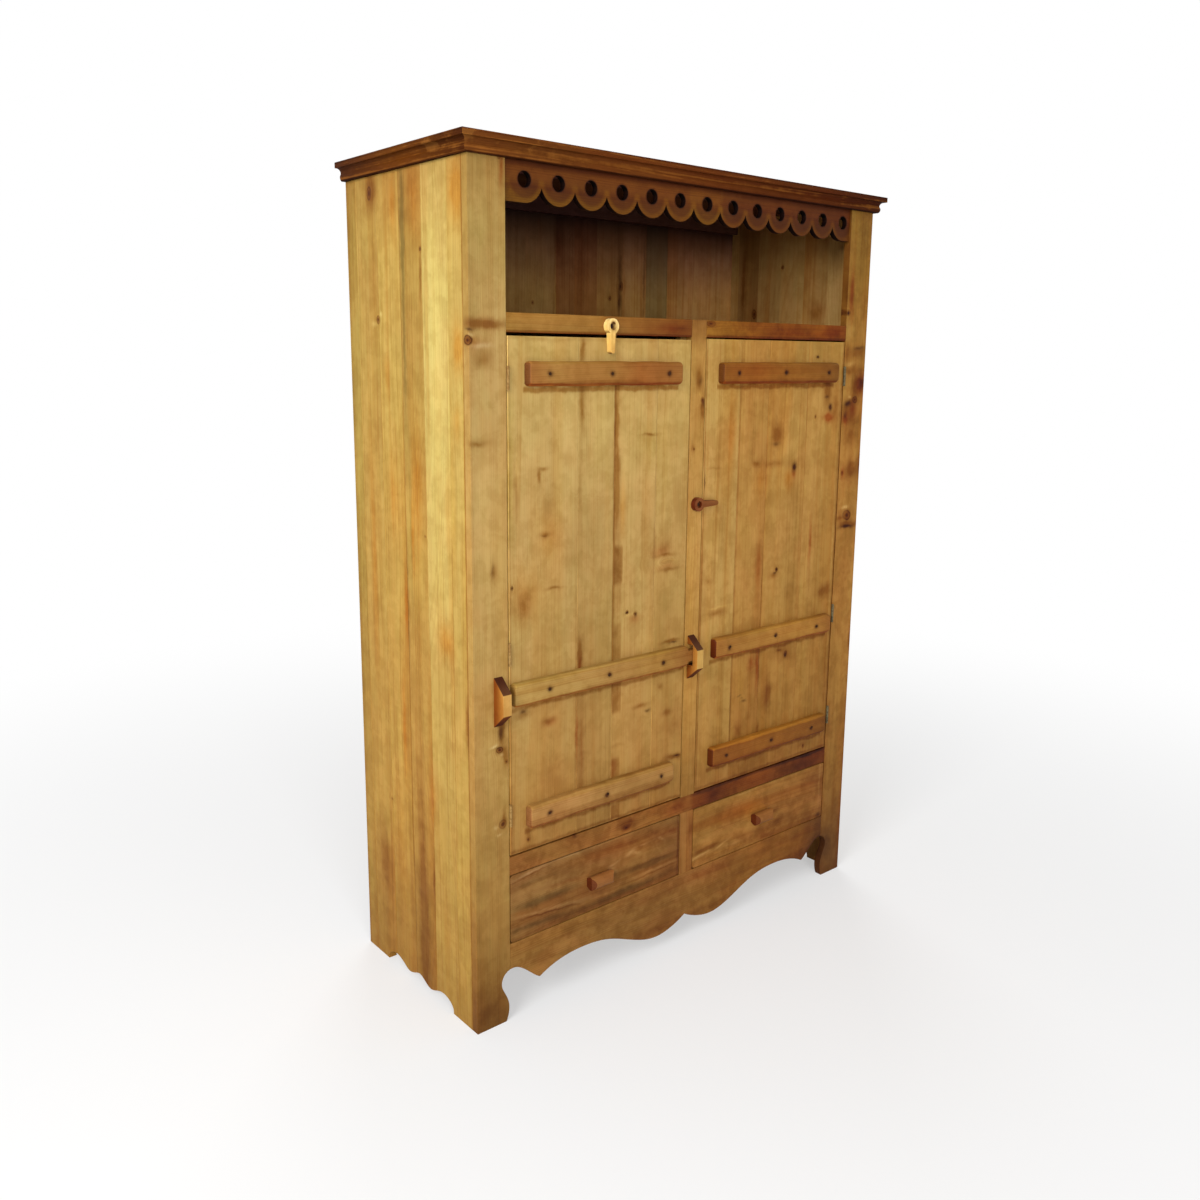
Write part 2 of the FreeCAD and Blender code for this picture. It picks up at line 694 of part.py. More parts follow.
def drawer_nodes():
    """Both drawers; the right one mirrors the left, apart from where its pull is."""
    nodes = {}
    face, sides, rear, bottom = drawer_pieces()
    for name, pieces in (("drawer_front", [face]), ("drawer_sides", sides), ("drawer_back", [rear]),
                         ("drawer_bottom", [bottom])):
        nodes["left_" + name] = pieces
        nodes["right_" + name] = [mirrored(p) for p in pieces]
    middle = (drawer_outer + drawer_inner) / 2
    nodes["left_drawer_pull"] = [pull(-middle - pull_shift)]
    nodes["right_drawer_pull"] = [pull(middle - pull_shift)]
    return nodes


os.makedirs("parts", exist_ok=True)
for node, solids in {**front_nodes(), **case_nodes(), **door_nodes(), **drawer_nodes()}.items():
    shape = solids[0] if len(solids) == 1 else Part.makeCompound(solids)
    shape.exportStep("parts/" + node + ".step")
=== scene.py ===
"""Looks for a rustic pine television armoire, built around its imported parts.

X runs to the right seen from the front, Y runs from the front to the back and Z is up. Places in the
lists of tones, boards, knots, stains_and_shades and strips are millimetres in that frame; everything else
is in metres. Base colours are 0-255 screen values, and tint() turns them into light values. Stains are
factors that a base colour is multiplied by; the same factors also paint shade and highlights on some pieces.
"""
import math
from types import SimpleNamespace

import bpy
from mathutils import Matrix, Vector, noise as fields


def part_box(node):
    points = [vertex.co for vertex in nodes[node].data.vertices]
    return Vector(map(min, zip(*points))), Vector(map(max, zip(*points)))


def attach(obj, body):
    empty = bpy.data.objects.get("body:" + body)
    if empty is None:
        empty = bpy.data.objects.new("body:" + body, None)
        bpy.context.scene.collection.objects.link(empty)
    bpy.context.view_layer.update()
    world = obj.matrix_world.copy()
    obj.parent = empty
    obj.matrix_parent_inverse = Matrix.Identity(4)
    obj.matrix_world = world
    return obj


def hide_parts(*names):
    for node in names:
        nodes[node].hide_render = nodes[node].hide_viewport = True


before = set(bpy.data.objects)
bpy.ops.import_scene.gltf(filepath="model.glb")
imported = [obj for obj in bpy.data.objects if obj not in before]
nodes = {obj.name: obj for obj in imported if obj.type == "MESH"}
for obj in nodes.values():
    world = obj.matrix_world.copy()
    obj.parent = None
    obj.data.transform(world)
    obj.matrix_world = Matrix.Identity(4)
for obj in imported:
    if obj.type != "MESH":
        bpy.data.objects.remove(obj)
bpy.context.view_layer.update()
MM = 0.001


# ---- shader maths ----

def tint(r, g, b):
    """A screen colour as light values."""
    def light(v):
        v = v / 255
        return v / 12.92 if v <= 0.04045 else ((v + 0.055) / 1.055) ** 2.4
    return (light(r), light(g), light(b))


class Value:
    """A socket of the material that is being made. Arithmetic on values adds Math nodes."""

    tree = None

    def __init__(self, socket):
        self.socket = socket

    @classmethod
    def node(cls, kind, inputs, output=0, stops=None, steps="LINEAR", **settings):
        """Any shader node: its kind, its settings and the values or links of its sockets."""
        made = cls.tree.nodes.new("ShaderNode" + kind)
        for name, setting in settings.items():
            setattr(made, name, setting)
        if stops:
            ramp = made.color_ramp
            ramp.interpolation = steps
            ramp.elements[0].position, ramp.elements[0].color = stops[0]
            ramp.elements[1].position, ramp.elements[1].color = stops[-1]
            for place, colour in stops[1:-1]:
                ramp.elements.new(place).color = colour
        for name, value in inputs.items():
            if isinstance(value, Value):
                cls.tree.links.new(value.socket, made.inputs[name])
            else:
                made.inputs[name].default_value = value
        return cls(made.outputs[output]) if len(made.outputs) else None

    def maths(self, operation, *others):
        return Value.node("Math", dict(enumerate((self,) + others)), operation=operation)

    def __add__(self, other):
        return self.maths("ADD", other)

    __radd__ = __add__

    def __sub__(self, other):
        return self.maths("SUBTRACT", other)

    def __rsub__(self, other):
        return Value.node("Math", {0: other, 1: self}, operation="SUBTRACT")

    def __mul__(self, other):
        return self.maths("MULTIPLY", other)

    __rmul__ = __mul__

    def __neg__(self):
        return self * -1.0


def smooth(value, low, high, start=0.0, end=1.0):
    """start below low, end above high and a soft step between."""
    step = {"Value": value, "From Min": low, "From Max": high, "To Min": start, "To Max": end}
    return Value.node("MapRange", step, interpolation_type="SMOOTHSTEP")


def opaque(colour):
    """Plain numbers for a colour, with their alpha. A socket stays as it is."""
    return colour + (1.0,) if isinstance(colour, tuple) else colour


def mix(amount, first, second, blend="MIX"):
    """A colour between two colours."""
    ends = {0: amount, 6: opaque(first), 7: opaque(second)}
    return Value.node("Mix", ends, 2, data_type="RGBA", blend_type=blend)


def stain_and_shade(amount, colour, factor):
    """The colour multiplied by a factor, as far as amount says; it serves real staining and painted shade
    and highlights alike.
    """
    return mix(amount, colour, factor, "MULTIPLY")


def noise(x, y, z, detail=2.0, rough=0.5):
    """A soft random field around 0.5."""
    where = Value.node("CombineXYZ", {0: x, 1: y, 2: z})
    field = {"Vector": where, "Scale": 1.0, "Detail": detail, "Roughness": rough}
    return Value.node("TexNoise", field)


def squares(first, second):
    """The squared distance."""
    return first * first + second * second


def bell(squared):
    """1 at the middle, falling away with the squared distance."""
    return (-squared).maths("EXPONENT")


def along_ramp(value, stops, steps="LINEAR"):
    """Colours along a value; stops are (place in millimetres, colour)."""
    start = stops[0][0] * MM
    length = stops[-1][0] * MM - start
    marks = [((place * MM - start) / length, opaque(colour)) for place, colour in stops]
    fraction = (value - start) * (1 / length)
    return Value.node("ValToRGB", {"Fac": fraction}, stops=marks, steps=steps)


# ---- what grows in a board ----

AXES = "XYZ"
# factors by name: real staining, and also painted shade and highlights
STAINS_AND_SHADES = {"brown": (0.6, 0.44, 0.26), "orange": (0.96, 0.7, 0.4), "red": (0.72, 0.36, 0.2),
          "olive": (0.8, 0.8, 0.6), "grey": (0.58, 0.6, 0.56), "dark": (0.2, 0.11, 0.06),
          "pale": (1.22, 1.3, 1.32), "light": (1.5, 1.85, 2.8)}
# repeats in a metre along the grain, across it and into the board, then detail and roughness
PATTERNS = {"wobble": (22, 22, 22, 3, 0.6), "drift": (1.5, 6, 6, 2, 0.5), "fibre": (9, 600, 600, 2, 0.6),
            "thin": (1.1, 110, 60, 2, 0.6), "bands": (0.7, 34, 12, 3, 0.6),
            "wide_bands": (1, 13, 6, 2, 0.5), "clouds": (3, 7, 7, 4, 0.6), "blotch": (10, 17, 17, 3, 0.6),
            "mottle": (26, 32, 32, 4, 0.62), "ripple": (48, 9, 9, 2, 0.5), "hues": (6, 13, 13, 3, 0.6)}
RINGS = 210.0  # years' rings in a metre
STRIP_SIDE = 2.5  # half the soft edge of a strip, in millimetres
OUTER_SKIN = 0.003  # how deep strips reach into the outer face
KNOT_REACH = 0.2  # the smaller, the further the grain bends around a knot
KNOT_PUSH = 0.8  # how much it bends
RELIEF = 0.0009  # depth of the worn grain
LEAST_ROUGH = 0.52


def spread(across, along, spots):
    """How far a point lies in the soft spots (across, along, half width, half height, amount, lean)."""
    total = 0.0
    for x, z, wide, tall, amount, *lean in spots:
        middle = (along - z * MM) * lean[0] + x * MM if lean else x * MM
        side = (across - middle) * (1 / (wide * MM))
        up = (along - z * MM) * (1 / (tall * MM))
        total = bell(squares(side, up)) * amount + total
    return total


def strip(across, along, edges, fade):
    """A straight strip (x0, x1, z0, z1, amount) with nearly sharp sides and ends as soft as fade."""
    x0, x1, z0, z1, amount = edges

    def between(value, low, high, soft):
        rise = smooth(value, (low - soft) * MM, (low + soft) * MM)
        return rise * smooth(value, (high + soft) * MM, (high - soft) * MM)

    return between(across, x0, x1, STRIP_SIDE) * between(along, z0, z1, fade) * amount


def knot_field(across, along, knots):
    """The distance to the nearest knot, 1 at its rim, how strong it is and how far the grain gives way.

    A knot is (across, along, half width, half height, strength).
    """
    nearest = None
    strength = 0.0
    push = 0.0
    for x, z, wide, tall, power in knots:
        side = (across - x * MM) * (1 / (wide * MM))
        up = (along - z * MM) * (1 / (tall * MM))
        squared = squares(side, up)
        near = bell(squared * KNOT_REACH)
        strength = near * power + strength
        push = side * near * (wide * MM * KNOT_PUSH) + push
        nearest = nearest.maths("MINIMUM", squared) if nearest else squared
    return nearest.maths("SQRT"), strength, push


def fresh_material(name):
    """An empty material that the next values belong to, and its x, y and z."""
    material = bpy.data.materials.new(name)
    material.use_nodes = True
    material.node_tree.nodes.clear()
    Value.tree = material.node_tree
    place = Value.node("TexCoord", {}, "Object")
    return material, [Value.node("SeparateXYZ", {0: place}, n) for n in range(3)]


def pine(name, tones, grain="X", depth="Y", boards=(), fading=None, knots=(), stains_and_shades=(), strips=(), faces=(),
         lines=1.0, streaks=1.0, waves=1.0, cloudy=1.0, seed=0.0, paint=None, sheen=0.12, corner=None):
    """A pine finish for one piece, with painted shade and highlights where its tables ask for them.

    grain and depth are the axes along the grain and into the board. tones are (place along the grain, red,
    green, blue). boards are (edge, factor) across a panel, and fading says where and how far those factors
    give way. knots are what knot_field takes. stains_and_shades are soft spots by their names in
    STAINS_AND_SHADES, some real staining and some painted shade and highlights, and strips (factor's name,
    fade, places) on the outer face only, for streaks and for painted shadows under battens and along gaps.
    faces are (axis, low, high, factor) for faces that look along that axis; some paint a face darker or
    lighter by where it looks, as painted shade and highlights. corner is the depth of the face whose marks
    run on round the board's corner. lines, streaks, waves and cloudy say how strong rings, colour bands,
    bends of the grain and mottling are.
    """
    material, xyz = fresh_material(name + "_pine")
    a = xyz[AXES.index(grain)]
    c = xyz[AXES.index(depth)]
    b = xyz[3 - AXES.index(grain) - AXES.index(depth)]
    shift = seed
    if boards:
        count = 0.0
        for edge, _ in boards[1:-1]:
            count = b.maths("GREATER_THAN", edge * MM) + count
        shift = count * 3.71 + seed

    def pattern(kind, across, along_by=shift, across_by=0.0, into_by=0.0):
        """One of the patterns in this board, moved by so much."""
        rates = PATTERNS[kind]
        where = (a * rates[0] + along_by, across * rates[1] + across_by, c * rates[2] + into_by)
        return noise(*where, *rates[3:])

    wobble = pattern("wobble", b, 0.0) - 0.5
    push = 0.0
    marks_b = b - (c - corner) if corner is not None else b
    if knots:
        distance, strength, push = knot_field(marks_b + wobble * 0.006, a + wobble * 0.008, knots)
    drift = (pattern("drift", b) - 0.5) * (0.035 * waves)
    grain_b = b - push + drift
    # rings around the tree's heart: turn is the place between two of them, late the dark end of a year
    heart = noise(a * 0.9 * waves + shift, seed + 3.1, 0.7, 1.0) * 0.16 - 0.03
    centre = noise(shift * 1.7, 9.2, 4.4, 0.0) * 0.3 - 0.15 if boards else 0.02
    turns = squares(grain_b - centre, heart + c * 0.3).maths("SQRT") * RINGS
    turn = turns.maths("FRACT")
    year = smooth(noise(turns.maths("FLOOR") * 0.37 + shift, 5.0, 2.0, 0.0), 0.3, 0.75, 0.1, 1.0)
    late = smooth(turn, 0.3, 0.88) * smooth(turn, 0.9, 1.0, 1.0, 0.0) * year
    fibre = pattern("fibre", grain_b)
    bands = pattern("bands", grain_b)
    wide_bands = pattern("wide_bands", grain_b, shift * 1.3, 4.0)
    thin = pattern("thin", grain_b)
    clouds = pattern("clouds", b, into_by=seed)
    blotch = pattern("blotch", b, into_by=seed)
    mottle = pattern("mottle", b)
    ripple = pattern("ripple", b, wobble * 4.0, shift)
    hues = pattern("hues", b, across_by=8.0)

    colour = along_ramp(a, [(spot[0], tint(*spot[1:])) for spot in tones])
    if boards:
        share = smooth(a, *fading) if fading else 1.0
        colour = stain_and_shade(share, colour, along_ramp(b, boards, "CONSTANT"))
    # mottling: a pattern, where it begins and ends, the factors there and their weight
    for field, low, high, first, second, amount in (
            (clouds, 0.34, 0.62, (0.8, 0.76, 0.66), (1.14, 1.17, 1.2), 0.3),
            (blotch, 0.4, 0.62, (1.12, 1.14, 1.18), (0.82, 0.75, 0.62), 0.25),
            (mottle * 0.7 + ripple * 0.3, 0.42, 0.6, (1.1, 1.12, 1.15), (0.84, 0.78, 0.66), 0.45),
            (hues, 0.38, 0.62, (0.96, 1.02, 0.94), (1.06, 0.97, 0.94), 0.35)):
        colour = stain_and_shade(amount * cloudy, colour, mix(smooth(field, low, high), first, second))
    # streaks along the grain
    for field, low, high, factor, amount in (
            (wide_bands, 0.5, 0.68, (0.92, 0.74, 0.48), 0.6), (bands, 0.5, 0.72, (0.84, 0.66, 0.42), 0.6),
            (bands, 0.46, 0.28, (1.1, 1.14, 1.14), 0.7), (thin, 0.5, 0.72, (0.78, 0.66, 0.48), 0.6)):
        colour = stain_and_shade(smooth(field, low, high) * (amount * streaks), colour, factor)
    colour = stain_and_shade(late * (0.5 * lines), colour, (0.7, 0.56, 0.38))
    patchy = bands * 0.8 + mottle * 1.4 + 0.35
    for kind, spots in dict(stains_and_shades).items():
        amount = spread(marks_b + wobble * 0.014, a + wobble * 0.018, spots) * patchy
        colour = stain_and_shade(amount.maths("MINIMUM", 1.0), colour, STAINS_AND_SHADES[kind])
    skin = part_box(name)[0][AXES.index(depth)] + OUTER_SKIN
    outside = smooth(c, skin + OUTER_SKIN, skin) if strips else 0.0
    for kind, fade, places in strips:
        for edges in places:
            amount = strip(marks_b + wobble * 0.003, a + wobble * 0.02, edges, fade) * patchy * outside
            colour = stain_and_shade(amount.maths("MINIMUM", 1.0), colour, STAINS_AND_SHADES[kind])
    height = late * 0.35 + fibre * 0.4 - mottle * 0.3
    if knots:  # distances in half widths of the knot
        power = smooth(strength, 0.0, 1.0)
        distance = distance + (mottle - 0.5) * 0.9 + (blotch - 0.5) * 0.6
        inside = smooth(distance, 0.6, 1.2, 1.0, 0.0) * power
        ring = smooth((distance * 2.6).maths("FRACT"), 0.2, 0.8)
        around = smooth(distance, 0.9, 3.0, 1.0, 0.0) * strength
        colour = stain_and_shade(around * smooth(bands, 0.35, 0.6), colour, STAINS_AND_SHADES["brown"])
        halo = smooth(distance, 1.0, 1.4) * smooth(distance, 1.4, 2.1, 1.0, 0.0) * power
        colour = stain_and_shade(halo * smooth(blotch, 0.38, 0.52), colour, STAINS_AND_SHADES["pale"])
        colour = stain_and_shade(inside * 0.8, colour, mix(ring, (0.84, 0.66, 0.44), (0.66, 0.46, 0.28)))
        colour = stain_and_shade(smooth(distance, 0.1, 0.7, 1.0, 0.0) * power, colour, (0.34, 0.2, 0.12))
        rim = smooth(distance, 0.72, 0.95) * smooth(distance, 0.95, 1.3, 1.0, 0.0) * power
        colour = stain_and_shade(rim * smooth(bands, 0.42, 0.58), colour, (0.34, 0.2, 0.12))
        height = height - inside * 0.5 - rim * 0.5
    if faces:
        facing = Value.node("TexCoord", {}, "Normal")
        for axis, low, high, factor in faces:
            turned = Value.node("SeparateXYZ", {0: facing}, AXES.index(axis))
            colour = stain_and_shade(smooth(turned, low, high), colour, factor)
    if paint:
        here = SimpleNamespace(x=xyz[0], y=xyz[1], z=xyz[2], blotch=blotch, mottle=mottle, thin=thin)
        colour = paint(colour, here)
    colour = stain_and_shade(1.0, colour, mix(fibre, (0.86, 0.84, 0.8), (1.1, 1.11, 1.12)))
    bump = Value.node("Bump", {"Height": height, "Strength": 0.4, "Distance": RELIEF})
    shader = Value.node("BsdfPrincipled", {
        "Base Color": colour, "Roughness": mottle * 0.2 + LEAST_ROUGH, "Normal": bump,
        "Specular IOR Level": sheen})
    Value.node("OutputMaterial", {"Surface": shader})
    return material


# ---- the finishes, with their painted shade and highlights, piece by piece ----

# heights of the crown: where flakes begin in its cove, its upper edge and the painted shadow line under its
# bead
CROWN = SimpleNamespace(cove=(1.872, 1.885), edge=(1.8995, 1.903), bead=(1.8695, 1.8668))


def crown_paint(colour, here):
    """Streaks worn through the dark-stained wood, flakes near the front corner, a darker upper edge and a
    painted shadow line under the bead.
    """
    near = smooth(here.y, 0.06, -0.2) * smooth(here.x, -0.3, -0.62)
    scuff = smooth(here.thin * 0.9 + here.mottle * 0.3, 0.6, 0.74) * (near * 0.1 + 0.45)
    colour = mix(scuff, colour, tint(150, 92, 36))
    flake = smooth(here.blotch * 0.5 + here.mottle * 0.6, 0.59, 0.66) * near * 0.3
    colour = mix(flake * smooth(here.z, *CROWN.cove), colour, tint(146, 96, 42))
    colour = stain_and_shade(smooth(here.z, *CROWN.edge), colour, (0.62, 0.55, 0.5))
    # painted shadow line under the bead
    return stain_and_shade(smooth(here.z, *CROWN.bead), colour, (0.3, 0.22, 0.16))


# the row of scallops: its start, the joint of its two boards, the pitch in each, the width of a scallop, the
# height of its middle, and how far from there the hole's wall, the painted shade around it and the sawn rim
# lie
SCALLOPS = SimpleNamespace(start=-0.5397, joint=0.15, left=0.0862, right=0.0817, width=0.085, height=1.832,
                           hole=(0.0172, 0.0163), around=(0.022, 0.0172), rim=(0.031, 0.041))


def valance_marks_and_shade(colour, here):
    """The sawn rims of the scallops are paler and a stretch near the middle is lighter; painted shade
    darkens the lower lobes, the holes and the rings around them, and the wood under the crown.
    """
    second = here.x.maths("GREATER_THAN", SCALLOPS.joint)
    turn = (here.x - SCALLOPS.start) * (1 / SCALLOPS.left)
    turn = (turn + second * ((here.x - SCALLOPS.joint) * (1 / SCALLOPS.right) - turn)).maths("FRACT")
    far = squares((turn - 0.5) * SCALLOPS.width, here.z - SCALLOPS.height).maths("SQRT")
    # painted shade: the lower lobes darker
    colour = stain_and_shade(smooth(here.z, 1.846, 1.81), colour, (0.6, 0.6, 0.45))
    rim = smooth(far, *SCALLOPS.rim) * smooth(here.z, 1.838, 1.822)
    colour = stain_and_shade(rim * smooth(here.mottle, 0.3, 0.6, 0.4, 1.0), colour, (1.7, 2.2, 1.6))
    lighter = smooth(here.x, -0.04, -0.03) * smooth(here.x, 0.076, 0.066)
    colour = stain_and_shade(lighter, colour, (1.16, 1.3, 1.2))
    # painted shade inside the holes and in a ring around them
    colour = stain_and_shade(smooth(far, *SCALLOPS.hole), colour, (0.34, 0.26, 0.2))
    colour = stain_and_shade(smooth(far, *SCALLOPS.around, 0.0, 0.45), colour, (0.5, 0.42, 0.34))
    # painted shade under the crown
    return stain_and_shade(smooth(here.z, 1.85, 1.866), colour, (0.56, 0.44, 0.34))


def bracket_painted_shade(colour, here):
    """Painted shade: darker where the bracket meets the wood behind it."""
    return stain_and_shade(smooth(here.y, -0.268, -0.238), colour, (0.5, 0.3, 0.17))


def back_painted_shade(colour, here):
    """Inside, painted shade darkens the boards towards the top of the open bay."""
    inside = smooth(here.y, 0.266, 0.262)
    shade = along_ramp(here.z, [(1640, (1, 1, 1)), (1760, (0.74, 0.67, 1)), (1810, (0.39, 0.32, 0.51)),
                                (1848, (0.09, 0.06, 0.17)), (1885, (0.045, 0.03, 0.095))])
    return stain_and_shade(inside, colour, shade)


def seams(edges, factors):
    """The boards of a panel: where each starts, and its factor. The last edge ends the panel."""
    return list(zip(edges, factors + [factors[-1]]))
